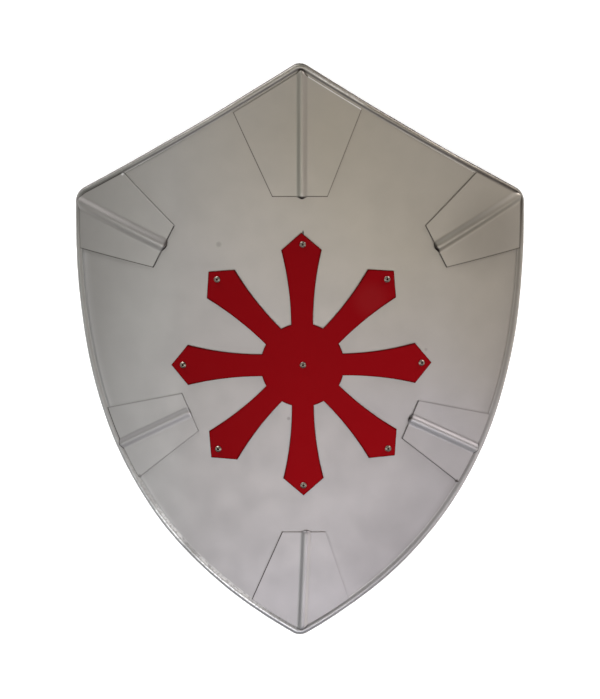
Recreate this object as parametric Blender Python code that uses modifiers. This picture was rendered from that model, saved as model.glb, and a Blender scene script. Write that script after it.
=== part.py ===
"""A decorative heater shield in steel sheet.

A plate is bowed about the shield's upright middle line. A round rod runs along its edge, six
beaded gussets lie on its face, and an eight-armed cross is held by nine blind rivets.

Each sheet is drawn as a flat blank: the first coordinate runs across along the sheet, the second
up towards the top point. The blank is then rolled onto the bow. The finished shield is turned
and set down as it comes to rest, face up, on a floor at z = 0.
"""

import math

import bmesh
import bpy
from mathutils import Matrix, Vector
from mathutils.geometry import interpolate_bezier

# Whole shield, in metres, straight across and outside the rim
SHIELD_WIDTH = 0.460
SHIELD_HEIGHT = 0.580
BOW_RADIUS = 0.450

# Run of the rim's middle line as seen from the front
SHOULDER_DROP = 0.1337
TOP_EDGE_HOLLOW = 0.0026
SHOULDER_LEAN = math.radians(1.0)
UPPER_SIDE_HANDLE = 0.2075
LOWER_SIDE_HANDLE = 0.2012
TIP_SLOPE = math.radians(28.9)
TOP_ROUNDING = 0.010
SHOULDER_ROUNDING = 0.0135
TIP_ROUNDING = 0.011

# Stock and clearances
RIM_DIAMETER = 0.0075
RIM_DROP = 0.0026
PLATE_THICKNESS = 0.0012
GUSSET_THICKNESS = 0.0010
CROSS_THICKNESS = 0.0012
SHEET_GAP = 0.0003
GUSSET_RIM_GAP = 0.0012
TOP_GUSSET_RIM_GAP = 0.0032

# Usual width of the bead pressed into a gusset
BEAD_WIDTH = 0.013

# Cross
ARM_COUNT = 8
CROSS_BELOW_MIDDLE = 0.0150
CROSS_SIDESTEP = 0.0026
CROSS_TURN = math.radians(0.5)
CROSS_SIDE_CLEARANCE = 0.0977
HUB_DIAMETER = 0.0846
WAIST_WIDTH = 0.0222
ARM_WIDTH = 0.0409
ARM_POINT_LENGTH = 0.0176
RIVET_FROM_POINT = 0.0101

# How much longer each arm was cut than the shortest, from the one that points up round to the left
ARM_LENGTHENING = (0.0016, 0.0017, 0.0025, 0.0004, 0.0002, 0.0, 0.0006, 0.0005)

# Top gusset: gap above the cross, width of its inner edge, spread of its two sides, and the
# height of its bead, which is pressed a little to the right
TOP_GUSSET_CLEARANCE = 0.0377
TOP_GUSSET_INNER_WIDTH = 0.056
TOP_GUSSET_LEFT_FLARE = math.radians(25.0)
TOP_GUSSET_RIGHT_FLARE = math.radians(21.5)
TOP_BEAD_HEIGHT = 0.0032
TOP_BEAD_SIDESTEP = 0.002

# Shoulder gussets, which slant down from the shoulders, their beads pressed askew
UPPER_GUSSET_REACH = 0.1114
UPPER_GUSSET_SLANT = math.radians(28.1)
UPPER_GUSSET_INNER_WIDTH = 0.0485
UPPER_GUSSET_FLARE = math.radians(15.8)
UPPER_LEFT_BEAD_WIDTH = 0.017
UPPER_LEFT_BEAD_HEIGHT = 0.0022
UPPER_LEFT_BEAD_LEAN = math.radians(4.0)
UPPER_LEFT_BEAD_SIDESTEP = 0.001
UPPER_RIGHT_BEAD_WIDTH = 0.0145
UPPER_RIGHT_BEAD_HEIGHT = 0.0028
UPPER_RIGHT_BEAD_LEAN = math.radians(1.1)
UPPER_RIGHT_BEAD_SIDESTEP = 0.001

# Side gussets, which reach in between two arms, past the circle of the arms' points
LOWER_LEFT_GUSSET_INROAD = 0.00715
LOWER_RIGHT_GUSSET_INROAD = 0.00826
LOWER_LEFT_GUSSET_BEARING = math.radians(23.1)
LOWER_RIGHT_GUSSET_BEARING = math.radians(27.1)
LOWER_GUSSET_SLANT = math.radians(24.5)
LOWER_GUSSET_INNER_WIDTH = 0.0422
LOWER_GUSSET_FLARE = math.radians(13.0)
LOWER_LEFT_BEAD_HEIGHT = 0.0014
LOWER_LEFT_BEAD_LEAN = math.radians(0.7)
LOWER_LEFT_BEAD_SIDESTEP = 0.0007
LOWER_RIGHT_BEAD_HEIGHT = 0.0024
LOWER_RIGHT_BEAD_SIDESTEP = 0.0008

# Bottom gusset, fitted a little to the right of the middle line, its bead askew
BOTTOM_GUSSET_CLEARANCE = 0.0373
BOTTOM_GUSSET_SIDESTEP = 0.004
BOTTOM_GUSSET_INNER_WIDTH = 0.0444
BOTTOM_GUSSET_LEFT_FLARE = math.radians(24.0)
BOTTOM_GUSSET_RIGHT_FLARE = math.radians(19.0)
BOTTOM_BEAD_HEIGHT = 0.0030
BOTTOM_BEAD_LEAN = math.radians(2.3)
BOTTOM_BEAD_SIDESTEP = 0.0025

# Blind rivets
RIVET_SHANK = 0.0036
RIVET_HEAD = 0.0064
RIVET_HEAD_HEIGHT = 0.0012
RIVET_HEAD_EDGE = 0.0004
RIVET_BORE = 0.0024
RIVET_BORE_DEPTH = 0.0009
RIVET_TAIL = 0.0054
RIVET_TAIL_LENGTH = 0.0038
HOLE_CLEARANCE = 0.0003

# Rivets that sit off their places, to the right and up, by number: the middle one is 0
RIVETS_ASTRAY = {
    0: (0.0005, 0.0),
    1: (0.0012, -0.0003),
    2: (0.0005, 0.0006),
    4: (0.0, 0.0013),
    8: (0.0003, -0.0008),
}

# Fineness of the faceted forms
TOP_EDGE_STEPS = 8
SIDE_STEPS = 22
ROUNDING_STEPS = 6
BOW_STEP = 0.014
BEAD_STEPS = 8
FLANK_STEPS = 5
HUB_STEPS = 3
HOLE_SIDES = 12
RIVET_SIDES = 12
RIM_BEVEL_STEPS = 3
WELD_DISTANCE = 0.00001

RIM_RADIUS = RIM_DIAMETER / 2
TOP = SHIELD_HEIGHT / 2
CROSS_RADIUS = SHIELD_WIDTH / 2 - CROSS_SIDE_CLEARANCE
UP = Vector((0.0, 1.0))


# Outline of the shield


def bezier(start, start_handle, end_handle, end, steps):
    """Points along one cubic curve, both ends included."""
    return interpolate_bezier(start, start_handle, end_handle, end, steps + 1)


def mirrored(point):
    """The same point on the other side of the upright middle line."""
    return Vector((-point.x, point.y))


def direction(angle):
    """Unit direction at an angle above the line that points right."""
    return Vector((math.cos(angle), math.sin(angle)))


def square_to(vector):
    """The vector turned a quarter turn to the left."""
    return Vector((-vector.y, vector.x))


def side_edge():
    """Right side from the sharp shoulder down to the sharp bottom point.

    It leans out a little below the shoulder, so it is scaled across to its full width.
    """
    half_width = SHIELD_WIDTH / 2 - RIM_RADIUS
    corner = Vector((half_width, TOP - SHOULDER_DROP))
    tip_height = -TOP + RIM_RADIUS - TIP_ROUNDING * (1 / math.cos(TIP_SLOPE) - 1)
    tip = Vector((0.0, tip_height))
    leaving = direction(SHOULDER_LEAN - math.pi / 2) * UPPER_SIDE_HANDLE
    arriving = direction(TIP_SLOPE) * LOWER_SIDE_HANDLE
    side = bezier(corner, corner + leaving, tip + arriving, tip, SIDE_STEPS)
    scale = half_width / max(point.x for point in side)
    return [Vector((point.x * scale, point.y)) for point in side]


def shoulder():
    """Sharp corner of the rim's middle line at the right shoulder."""
    return side_edge()[0]


def top_edge():
    """Right top edge from the sharp top point to the shoulder, dipped a little at its middle."""
    corner = shoulder()
    rounded_top = Vector((0.0, TOP - RIM_RADIUS))
    chord = corner - rounded_top
    slope = math.atan2(-chord.y, chord.x) + math.atan2(4 * TOP_EDGE_HOLLOW, chord.length)
    point = rounded_top + UP * TOP_ROUNDING * (1 / math.cos(slope) - 1)
    chord = corner - point
    dip = square_to(chord).normalized() * (-TOP_EDGE_HOLLOW * 4 / 3)
    return bezier(point, point + chord / 3 + dip, corner - chord / 3 + dip, corner, TOP_EDGE_STEPS)


def round_corner(line, corner, radius):
    """Put an arc of the radius in place of one sharp corner of a closed line."""
    distances = [(point - corner).length for point in line]
    spot = distances.index(min(distances))
    line = line[spot:] + line[:spot]
    ahead = (line[1] - corner).normalized()
    behind = (line[-1] - corner).normalized()
    half_angle = ahead.angle(behind) / 2
    reach = radius / math.tan(half_angle)
    centre = corner + (ahead + behind).normalized() * radius / math.sin(half_angle)
    first = corner + behind * reach - centre
    last = corner + ahead * reach - centre
    sweep = math.atan2(first.cross(last), first.dot(last))
    arc = []
    for step in range(ROUNDING_STEPS + 1):
        arc.append(centre + Matrix.Rotation(sweep * step / ROUNDING_STEPS, 2) @ first)
    kept = [point for point in line[1:] if (point - corner).length > 1.1 * reach]
    return arc + kept


def rim_front_line():
    """Closed middle line of the rim as seen from the front, clockwise from the top point."""
    top = top_edge()
    side = side_edge()
    right = top + side[1:]
    left = [mirrored(point) for point in reversed(right[1:-1])]
    line = right + left
    line = round_corner(line, top[0], TOP_ROUNDING)
    line = round_corner(line, side[0], SHOULDER_ROUNDING)
    line = round_corner(line, side[-1], TIP_ROUNDING)
    return round_corner(line, mirrored(side[0]), SHOULDER_ROUNDING)


def unrolled(point):
    """Place on the flat blank of a point of the rim's middle line seen from the front."""
    angle = math.asin(point.x / (BOW_RADIUS - RIM_DROP))
    return Vector((BOW_RADIUS * angle, point.y))


def rim_flat_line():
    """The rim's middle line on the flat blank."""
    return [unrolled(point) for point in rim_front_line()]


def inset(line, distance):
    """A closed clockwise line moved inwards by the distance."""
    moved = []
    for index, point in enumerate(line):
        along = (line[(index + 1) % len(line)] - line[index - 1]).normalized()
        moved.append(point - square_to(along) * distance)
    return moved


def beside_rim(back_height, gap):
    """Distance from the rim's middle line at which a sheet keeps a gap to the rod.

    The rod is widest beside the sheet's back, whose height above the plate's front face is given.
    """
    rise = back_height + RIM_DROP
    return math.sqrt(max(RIM_RADIUS ** 2 - rise ** 2, 0.0)) + gap


def side_point(height):
    """Point of the rim's flat line at a height on the right side."""
    side = [unrolled(point) for point in side_edge()]
    for above, below in zip(side, side[1:]):
        if above.y >= height > below.y:
            return above.lerp(below, (above.y - height) / (above.y - below.y))
    raise ValueError("the side has no point at this height")


# Bow and rest


def rolled(point, height):
    """Place on the bowed shield of a flat point, at a height above the plate's front face."""
    angle = point.x / BOW_RADIUS
    radius = BOW_RADIUS + height
    return Vector((radius * math.sin(angle), point.y, radius * math.cos(angle) - BOW_RADIUS))


def rolled_frame(point):
    """Matrix whose origin is a flat point on the bowed front face and whose Z stands square on it."""
    place = Matrix.Translation(rolled(point, 0.0))
    return place @ Matrix.Rotation(point.x / BOW_RADIUS, 4, "Y")


def rest_angle():
    """Angle at which the shield rests on its two sides, with the tip's end low.

    Each side of the rim is a rocker. The shield is at rest where the rocker's slope under the
    middle of the plate's area is level.
    """
    line = rim_front_line()
    area = 0.0
    moment = 0.0
    for index, point in enumerate(line):
        before = line[index - 1]
        slice_area = before.cross(point)
        area += slice_area
        moment += slice_area * (before.y + point.y) / 3
    middle = moment / area
    upper = rolled(side_point(middle + BOW_STEP), -RIM_DROP)
    lower = rolled(side_point(middle - BOW_STEP), -RIM_DROP)
    fall = upper - lower
    return math.atan2(-fall.z, fall.y)


# Scene helpers


def collection(name):
    """New collection in the scene."""
    made = bpy.data.collections.new(name)
    bpy.context.scene.collection.children.link(made)
    return made


def material(name, colour, metallic, roughness):
    """Plain Principled material."""
    made = bpy.data.materials.new(name)
    made.use_nodes = True
    shader = made.node_tree.nodes["Principled BSDF"]
    shader.inputs["Base Color"].default_value = (*colour, 1.0)
    shader.inputs["Metallic"].default_value = metallic
    shader.inputs["Roughness"].default_value = roughness
    made.diffuse_color = (*colour, 1.0)
    return made


def silver_paint():
    return material("silver_paint", (0.42, 0.41, 0.39), 0.6, 0.38)


def rim_silver():
    return material("rim_silver", (0.47, 0.46, 0.45), 0.7, 0.28)


def red_paint():
    return material("red_paint", (0.22, 0.008, 0.010), 0.0, 0.35)


def rivet_metal():
    return material("rivet_metal", (0.62, 0.58, 0.55), 1.0, 0.30)


def place_object(name, data, group):
    """Object with this data in a collection."""
    made = bpy.data.objects.new(name, data)
    group.objects.link(made)
    return made


def add_solidify(made, thickness):
    """Give an open sheet its thickness, behind its front face."""
    wall = made.modifiers.new("thickness", "SOLIDIFY")
    wall.thickness = thickness
    wall.offset = -1.0
    wall.use_even_offset = True
    wall.use_quality_normals = True


def add_cut(made, cutter):
    """Cut one object out of another."""
    cut = made.modifiers.new("drilled", "BOOLEAN")
    cut.operation = "DIFFERENCE"
    cut.solver = "EXACT"
    cut.object = cutter


# Sheets


def flat_blank(outline):
    """One flat face inside a closed outline, as an editable mesh."""
    curve = bpy.data.curves.new("blank", "CURVE")
    curve.dimensions = "2D"
    curve.fill_mode = "BOTH"
    spline = curve.splines.new("POLY")
    spline.points.add(len(outline) - 1)
    for knot, point in zip(spline.points, outline):
        knot.co = (point.x, point.y, 0.0, 1.0)
    spline.use_cyclic_u = True
    holder = bpy.data.objects.new("blank", curve)
    filled = bpy.data.meshes.new_from_object(holder)
    blank = bmesh.new()
    blank.from_mesh(filled)
    bpy.data.objects.remove(holder)
    bpy.data.curves.remove(curve)
    bpy.data.meshes.remove(filled)
    bmesh.ops.remove_doubles(blank, verts=blank.verts, dist=WELD_DISTANCE)
    bmesh.ops.dissolve_faces(blank, faces=blank.faces)
    for face in blank.faces:
        if face.normal.z < 0:
            face.normal_flip()
    return blank


def cut_line(blank, point, normal, clear=False):
    """Cut a flat blank along a straight line, and with clear take off what lies past it."""
    whole = list(blank.verts) + list(blank.edges) + list(blank.faces)
    bmesh.ops.bisect_plane(
        blank,
        geom=whole,
        dist=WELD_DISTANCE,
        plane_co=point.to_3d(),
        plane_no=normal.to_3d(),
        clear_outer=clear,
    )


def score_for_bow(blank):
    """Score a blank with upright lines, a step apart, where its facets will meet."""
    across = [vertex.co.x for vertex in blank.verts]
    first = math.ceil(min(across) / BOW_STEP - 0.5)
    last = math.floor(max(across) / BOW_STEP - 0.5)
    for number in range(first, last + 1):
        cut_line(blank, Vector(((number + 0.5) * BOW_STEP, 0.0)), Vector((1.0, 0.0)))


def rolled_sheet(name, blank, height_of, thickness, group, surface):
    """Roll a scored blank onto the bow, smooth but for its border, and give it its thickness."""
    for vertex in blank.verts:
        flat = vertex.co.to_2d()
        vertex.co = rolled(flat, height_of(flat))
    bmesh.ops.triangulate(blank, faces=blank.faces)
    for face in blank.faces:
        face.smooth = True
    for edge in blank.edges:
        edge.smooth = not edge.is_boundary
    mesh = bpy.data.meshes.new(name)
    blank.to_mesh(mesh)
    blank.free()
    mesh.materials.append(surface)
    made = place_object(name, mesh, group)
    add_solidify(made, thickness)
    return made


def make_plate(group, surface, holes):
    """The bowed plate, whose edge stops at the rim."""
    blank = flat_blank(inset(rim_flat_line(), beside_rim(-PLATE_THICKNESS, SHEET_GAP)))
    score_for_bow(blank)
    plate = rolled_sheet("shield_plate", blank, lambda flat: 0.0, PLATE_THICKNESS, group, surface)
    add_cut(plate, holes)
    return plate


def make_rim(group, surface):
    """The round rod along the plate's edge, its middle line behind the plate's front face."""
    curve = bpy.data.curves.new("edge_rim", "CURVE")
    curve.dimensions = "3D"
    curve.bevel_depth = RIM_RADIUS
    curve.bevel_resolution = RIM_BEVEL_STEPS
    line = rim_flat_line()
    spline = curve.splines.new("POLY")
    spline.points.add(len(line) - 1)
    for knot, point in zip(spline.points, line):
        knot.co = (*rolled(point, -RIM_DROP), 1.0)
    spline.use_cyclic_u = True
    spline.use_smooth = True
    curve.materials.append(surface)
    return place_object("edge_rim", curve, group)


def make_gusset(name, middle, inwards, shape, bead, group, surface, gap=GUSSET_RIM_GAP):
    """A gusset trimmed from the shield's own outline by three straight cuts, with its bead.

    Its inner edge lies square to the inwards direction, about its middle. The shape is that
    edge's width and the spread of the sides that lie on the right and on the left of the inwards
    direction. The bead is its width, its height, its lean, and its sidestep to the left of the
    inwards direction. The gap is that to the rim.
    """
    inner_width, right_flare, left_flare = shape
    bead_width, bead_height, bead_lean, sidestep = bead
    across = square_to(inwards)
    blank = flat_blank(inset(rim_flat_line(), beside_rim(SHEET_GAP, gap)))
    cut_line(blank, middle, inwards, clear=True)
    for side, flare in ((-1, right_flare), (1, left_flare)):
        corner = middle + across * side * inner_width / 2
        outwards = math.cos(flare) * across * side + math.sin(flare) * inwards
        cut_line(blank, corner, outwards, clear=True)
    bead_across = Matrix.Rotation(bead_lean, 2) @ across
    bead_middle = middle + across * sidestep
    for step in range(BEAD_STEPS + 1):
        offset = bead_width * (step / BEAD_STEPS - 0.5)
        cut_line(blank, bead_middle + bead_across * offset, bead_across)
    score_for_bow(blank)

    def front_height(flat):
        from_middle = abs((flat - bead_middle).dot(bead_across)) / bead_width
        raised = bead_height * math.cos(math.pi * min(from_middle, 0.5)) ** 2
        return SHEET_GAP + GUSSET_THICKNESS + raised

    return rolled_sheet(name, blank, front_height, GUSSET_THICKNESS, group, surface)


def make_upper_gussets(group, surface):
    """The two gussets that point in from the shoulders, fitted close to the rim."""
    shape = (UPPER_GUSSET_INNER_WIDTH, UPPER_GUSSET_FLARE, UPPER_GUSSET_FLARE)
    inwards = direction(math.pi + UPPER_GUSSET_SLANT)
    middle = unrolled(shoulder()) + inwards * UPPER_GUSSET_REACH
    bead = (
        UPPER_RIGHT_BEAD_WIDTH,
        UPPER_RIGHT_BEAD_HEIGHT,
        UPPER_RIGHT_BEAD_LEAN,
        UPPER_RIGHT_BEAD_SIDESTEP,
    )
    make_gusset("upper_right_gusset", middle, inwards, shape, bead, group, surface, SHEET_GAP)
    middle = mirrored(middle)
    inwards = mirrored(inwards)
    bead = (
        UPPER_LEFT_BEAD_WIDTH,
        UPPER_LEFT_BEAD_HEIGHT,
        UPPER_LEFT_BEAD_LEAN,
        UPPER_LEFT_BEAD_SIDESTEP,
    )
    make_gusset("upper_left_gusset", middle, inwards, shape, bead, group, surface, SHEET_GAP)


def make_lower_gussets(group, surface):
    """The two gussets that point in from the sides, each between two arms of the cross."""
    shape = (LOWER_GUSSET_INNER_WIDTH, LOWER_GUSSET_FLARE, LOWER_GUSSET_FLARE)
    distance = CROSS_RADIUS - LOWER_RIGHT_GUSSET_INROAD
    inwards = direction(math.pi - LOWER_GUSSET_SLANT)
    middle = cross_centre() + direction(-LOWER_RIGHT_GUSSET_BEARING) * distance
    bead = (BEAD_WIDTH, LOWER_RIGHT_BEAD_HEIGHT, 0.0, -LOWER_RIGHT_BEAD_SIDESTEP)
    make_gusset("lower_right_gusset", middle, inwards, shape, bead, group, surface)
    distance = CROSS_RADIUS - LOWER_LEFT_GUSSET_INROAD
    middle = cross_centre() + direction(math.pi + LOWER_LEFT_GUSSET_BEARING) * distance
    inwards = mirrored(inwards)
    bead = (BEAD_WIDTH, LOWER_LEFT_BEAD_HEIGHT, LOWER_LEFT_BEAD_LEAN, LOWER_LEFT_BEAD_SIDESTEP)
    make_gusset("lower_left_gusset", middle, inwards, shape, bead, group, surface)


def make_end_gussets(group, surface):
    """The gussets under the top point and above the bottom point."""
    shape = (TOP_GUSSET_INNER_WIDTH, TOP_GUSSET_LEFT_FLARE, TOP_GUSSET_RIGHT_FLARE)
    height = cross_centre().y + CROSS_RADIUS + TOP_GUSSET_CLEARANCE
    bead = (BEAD_WIDTH, TOP_BEAD_HEIGHT, 0.0, TOP_BEAD_SIDESTEP)
    gap = TOP_GUSSET_RIM_GAP
    make_gusset("top_gusset", UP * height, -UP, shape, bead, group, surface, gap)
    shape = (BOTTOM_GUSSET_INNER_WIDTH, BOTTOM_GUSSET_RIGHT_FLARE, BOTTOM_GUSSET_LEFT_FLARE)
    height = cross_centre().y - CROSS_RADIUS - BOTTOM_GUSSET_CLEARANCE
    middle = Vector((BOTTOM_GUSSET_SIDESTEP, height))
    bead = (BEAD_WIDTH, BOTTOM_BEAD_HEIGHT, -BOTTOM_BEAD_LEAN, -BOTTOM_BEAD_SIDESTEP)
    make_gusset("bottom_gusset", middle, UP, shape, bead, group, surface)


# Cross and rivets


def cross_centre():
    """Middle of the cross on the flat blank."""
    return Vector((CROSS_SIDESTEP, -CROSS_BELOW_MIDDLE))


def arm_angle(arm):
    """Direction of an arm, counted from the one that points up."""
    return math.pi / 2 + CROSS_TURN + math.tau * arm / ARM_COUNT


def arm_shape(root, radius):
    """Outline of an arm that points right, from its root on the hub out to its point and back."""
    waist = WAIST_WIDTH / 2
    widest = ARM_WIDTH / 2
    flank_length = radius - ARM_POINT_LENGTH - root
    flank = []
    for step in range(FLANK_STEPS + 1):
        share = step / FLANK_STEPS
        half_width = waist + (widest - waist) * share ** 2
        flank.append(Vector((root + flank_length * share, half_width)))
    near_side = [Vector((point.x, -point.y)) for point in flank]
    far_side = list(reversed(flank))
    return near_side + [Vector((radius, 0.0))] + far_side


def cross_outline():
    """Outline of the cross: concave flanks, a pointed end on each arm, hub arcs between the arms."""
    waist = WAIST_WIDTH / 2
    hub = HUB_DIAMETER / 2
    root = math.sqrt(hub ** 2 - waist ** 2)
    root_angle = math.atan2(waist, root)
    free_angle = math.tau / ARM_COUNT - 2 * root_angle
    hub_arc = []
    for step in range(1, HUB_STEPS):
        hub_arc.append(direction(root_angle + free_angle * step / HUB_STEPS) * hub)
    outline = []
    for arm, lengthening in enumerate(ARM_LENGTHENING):
        turn = Matrix.Rotation(arm_angle(arm), 2)
        shape = arm_shape(root, CROSS_RADIUS + lengthening) + hub_arc
        outline += [cross_centre() + turn @ point for point in shape]
    return outline


def rivet_places():
    """Flat place of each rivet by name: the middle, then the arms from the top one to the left."""
    places = {"centre_rivet": cross_centre()}
    for arm in range(ARM_COUNT):
        reach = direction(arm_angle(arm)) * (CROSS_RADIUS - RIVET_FROM_POINT)
        places["arm_rivet_%d" % (arm + 1)] = cross_centre() + reach
    for number, name in enumerate(places):
        places[name] += Vector(RIVETS_ASTRAY.get(number, (0.0, 0.0)))
    return places


def make_cross(group, surface, holes):
    """The cross, bowed to lie on the plate."""
    blank = flat_blank(cross_outline())
    score_for_bow(blank)
    front = SHEET_GAP + CROSS_THICKNESS
    cross = rolled_sheet("red_cross", blank, lambda flat: front, CROSS_THICKNESS, group, surface)
    add_cut(cross, holes)
    return cross


def make_holes(group):
    """Drills for all the rivet holes, square to the plate, as one cutter."""
    drills = bmesh.new()
    length = 4 * (PLATE_THICKNESS + SHEET_GAP + CROSS_THICKNESS)
    radius = RIVET_SHANK / 2 + HOLE_CLEARANCE
    for place in rivet_places().values():
        bmesh.ops.create_cone(
            drills,
            cap_ends=True,
            segments=HOLE_SIDES,
            radius1=radius,
            radius2=radius,
            depth=length,
            matrix=rolled_frame(place),
        )
    mesh = bpy.data.meshes.new("rivet_holes")
    drills.to_mesh(mesh)
    drills.free()
    made = place_object("rivet_holes", mesh, group)
    made.hide_render = True
    made.display_type = "WIRE"
    return made


def rivet_profile():
    """Half section of a set blind rivet, from the floor of its bore over the head to its tail."""
    seat = SHEET_GAP + CROSS_THICKNESS + SHEET_GAP
    crown = seat + RIVET_HEAD_HEIGHT
    floor = crown - RIVET_BORE_DEPTH
    back = -PLATE_THICKNESS - SHEET_GAP
    bore = RIVET_BORE / 2
    head = RIVET_HEAD / 2
    shank = RIVET_SHANK / 2
    tail = RIVET_TAIL / 2
    end = back - RIVET_TAIL_LENGTH
    dome = []
    for share in (0.0, 0.5, 0.85, 1.0):
        drop = (crown - seat - RIVET_HEAD_EDGE) * share ** 2
        dome.append((bore + (head - bore) * share, crown - drop))
    return (
        [(0.0, floor), (bore, floor)]
        + dome
        + [(head, seat), (shank, seat), (shank, back), (tail, back)]
        + [(tail, (back + end) / 2), (bore, end), (0.0, end)]
    )


def make_rivets(group, surface):
    """Nine like rivets, each square to the plate where it sits."""
    profile = rivet_profile()
    mesh = bpy.data.meshes.new("rivet_profile")
    knots = [(radius, 0.0, height) for radius, height in profile]
    mesh.from_pydata(knots, [(step, step + 1) for step in range(len(knots) - 1)], [])
    mesh.materials.append(surface)
    for name, place in rivet_places().items():
        rivet = place_object(name, mesh, group)
        rivet.matrix_world = rolled_frame(place)
        turned = rivet.modifiers.new("turned", "SCREW")
        turned.steps = RIVET_SIDES
        turned.render_steps = RIVET_SIDES
        turned.use_merge_vertices = True
        turned.merge_threshold = WELD_DISTANCE


# Rest


def set_down(objects):
    """Turn the whole shield to its angle of rest, centred on the origin, its lowest point at zero."""
    rest = bpy.data.objects.new("rest", None)
    bpy.context.scene.collection.objects.link(rest)
    for made in objects:
        made.parent = rest
    rest.rotation_euler.x = rest_angle()
    bpy.context.view_layer.update()
    graph = bpy.context.evaluated_depsgraph_get()
    corners = []
    for made in objects:
        if made.hide_render:
            continue
        evaluated = made.evaluated_get(graph)
        mesh = evaluated.to_mesh()
        corners += [evaluated.matrix_world @ vertex.co for vertex in mesh.vertices]
        evaluated.to_mesh_clear()
    low = Vector([min(corner[axis] for corner in corners) for axis in range(3)])
    high = Vector([max(corner[axis] for corner in corners) for axis in range(3)])
    rest.location = Vector((-(low.x + high.x) / 2, -(low.y + high.y) / 2, -low.z))
    bpy.context.view_layer.update()


def main():
    for old in list(bpy.data.objects):
        bpy.data.objects.remove(old)
    shield = collection("heater_shield")
    cutters = collection("cutters")
    silver = silver_paint()
    holes = make_holes(cutters)
    make_plate(shield, silver, holes)
    make_rim(shield, rim_silver())
    make_end_gussets(shield, silver)
    make_upper_gussets(shield, silver)
    make_lower_gussets(shield, silver)
    make_cross(shield, red_paint(), holes)
    make_rivets(shield, rivet_metal())
    set_down(list(shield.objects) + list(cutters.objects))


main()
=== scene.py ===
"""Looks of a heater shield: a bowed steel plate with a round rim, beaded gussets and a red cross.

Every sheet is worked out on its flat blank. There, across runs to the right along the sheet and
along runs up towards the top point. It is then rolled onto the bow and set down as it lies.
"""

import math

import bmesh
import bpy
import numpy as np
from mathutils import Matrix, Vector


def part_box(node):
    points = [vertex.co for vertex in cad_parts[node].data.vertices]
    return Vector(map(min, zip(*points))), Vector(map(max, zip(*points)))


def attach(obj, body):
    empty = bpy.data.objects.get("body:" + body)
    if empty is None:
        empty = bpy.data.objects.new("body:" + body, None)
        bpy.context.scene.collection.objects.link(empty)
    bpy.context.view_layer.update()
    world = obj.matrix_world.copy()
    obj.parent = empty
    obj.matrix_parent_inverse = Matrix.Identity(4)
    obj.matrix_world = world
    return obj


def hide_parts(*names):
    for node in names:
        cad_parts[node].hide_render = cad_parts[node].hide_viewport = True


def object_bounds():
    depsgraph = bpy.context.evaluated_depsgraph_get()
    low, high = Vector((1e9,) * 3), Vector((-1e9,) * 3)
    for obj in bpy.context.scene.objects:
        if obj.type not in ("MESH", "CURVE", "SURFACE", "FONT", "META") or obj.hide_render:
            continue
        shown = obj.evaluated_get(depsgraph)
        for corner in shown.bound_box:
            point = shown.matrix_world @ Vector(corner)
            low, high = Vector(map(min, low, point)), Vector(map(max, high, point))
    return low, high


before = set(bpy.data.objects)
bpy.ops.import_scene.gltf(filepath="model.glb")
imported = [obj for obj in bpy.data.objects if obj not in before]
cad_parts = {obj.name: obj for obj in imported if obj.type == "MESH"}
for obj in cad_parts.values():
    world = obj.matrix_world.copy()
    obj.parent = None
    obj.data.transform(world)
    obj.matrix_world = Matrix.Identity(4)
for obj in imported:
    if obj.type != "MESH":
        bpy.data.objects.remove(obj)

bl_info = {
    "name": "Heater Shield",
    "version": (1, 0, 0),
    "blender": (4, 5, 0),
    "location": "View3D > Sidebar > Shield",
    "description": "Makes a bowed steel heater shield with a riveted cross, and a stage for it",
    "category": "Add Mesh",
}

CAD_LOW, CAD_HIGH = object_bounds()
BODY = "root"
# Name of the points' attribute that carries painted light and shade, with some dirt
SHADE_AND_WEAR = "wear"

# Run of the rim's middle line as seen from the front
SHOULDER_DROP = 0.1337
TOP_EDGE_HOLLOW = 0.0026
SHOULDER_LEAN = math.radians(1.0)
UPPER_SIDE_HANDLE = 0.2075
LOWER_SIDE_HANDLE = 0.2012
TIP_SLOPE = math.radians(28.9)
TOP_ROUNDING = 0.010
SHOULDER_ROUNDING = 0.0135
TIP_ROUNDING = 0.011

# Cross
ARM_LENGTHENING = np.array([0.0016, 0.0017, 0.0025, 0.0004, 0.0002, 0.0, 0.0006, 0.0005])
CROSS_CENTRE = np.array([0.0026, -0.0150])
CROSS_TURN = math.radians(0.5)
CROSS_RADIUS = 0.1323
HUB_RADIUS = 0.0423
WAIST_WIDTH = 0.0222
ARM_WIDTH = 0.0409
ARM_POINT_LENGTH = 0.0176
# Darkening of the cross's edges: dirt and painted shade
CROSS_EDGE_DIRT_AND_SHADE = 0.85

# Places of the gussets' inner edges: how far the upper ones reach in from the shoulders, how far
# the lower ones bite into the circle of the arms' points, and how far the others stand off it
UPPER_SLANT = math.radians(28.1)
UPPER_REACH = 0.1114
LOWER_SLANT = math.radians(24.5)
LOWER_RIGHT_BEARING = math.radians(27.1)
LOWER_RIGHT_BITE = 0.00826
LOWER_LEFT_BEARING = math.radians(23.1)
LOWER_LEFT_BITE = 0.00715
ABOVE_CROSS = 0.0377
BELOW_CROSS = 0.0373
BOTTOM_GUSSET_SIDESTEP = 0.004

# Gussets seen inwards: inner width, flares of the right and the left side in degrees, and the
# bead's lean in degrees, its sidestep to the left and how far its nose leans over the inner edge
GUSSET_FORMS = {
    "top": (0.056, 25.0, 21.5, 0.0, 0.002, 0.0024),
    "upper_right": (0.0485, 15.8, 15.8, 1.1, 0.001, 0.0018),
    "upper_left": (0.0485, 15.8, 15.8, 4.0, 0.001, 0.0024),
    "lower_right": (0.0422, 13.0, 13.0, 0.0, -0.0008, 0.0020),
    "lower_left": (0.0422, 13.0, 13.0, 0.7, 0.0007, 0.0004),
    "bottom": (0.0444, 19.0, 24.0, -2.3, -0.0025, 0.0018),
}
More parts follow.
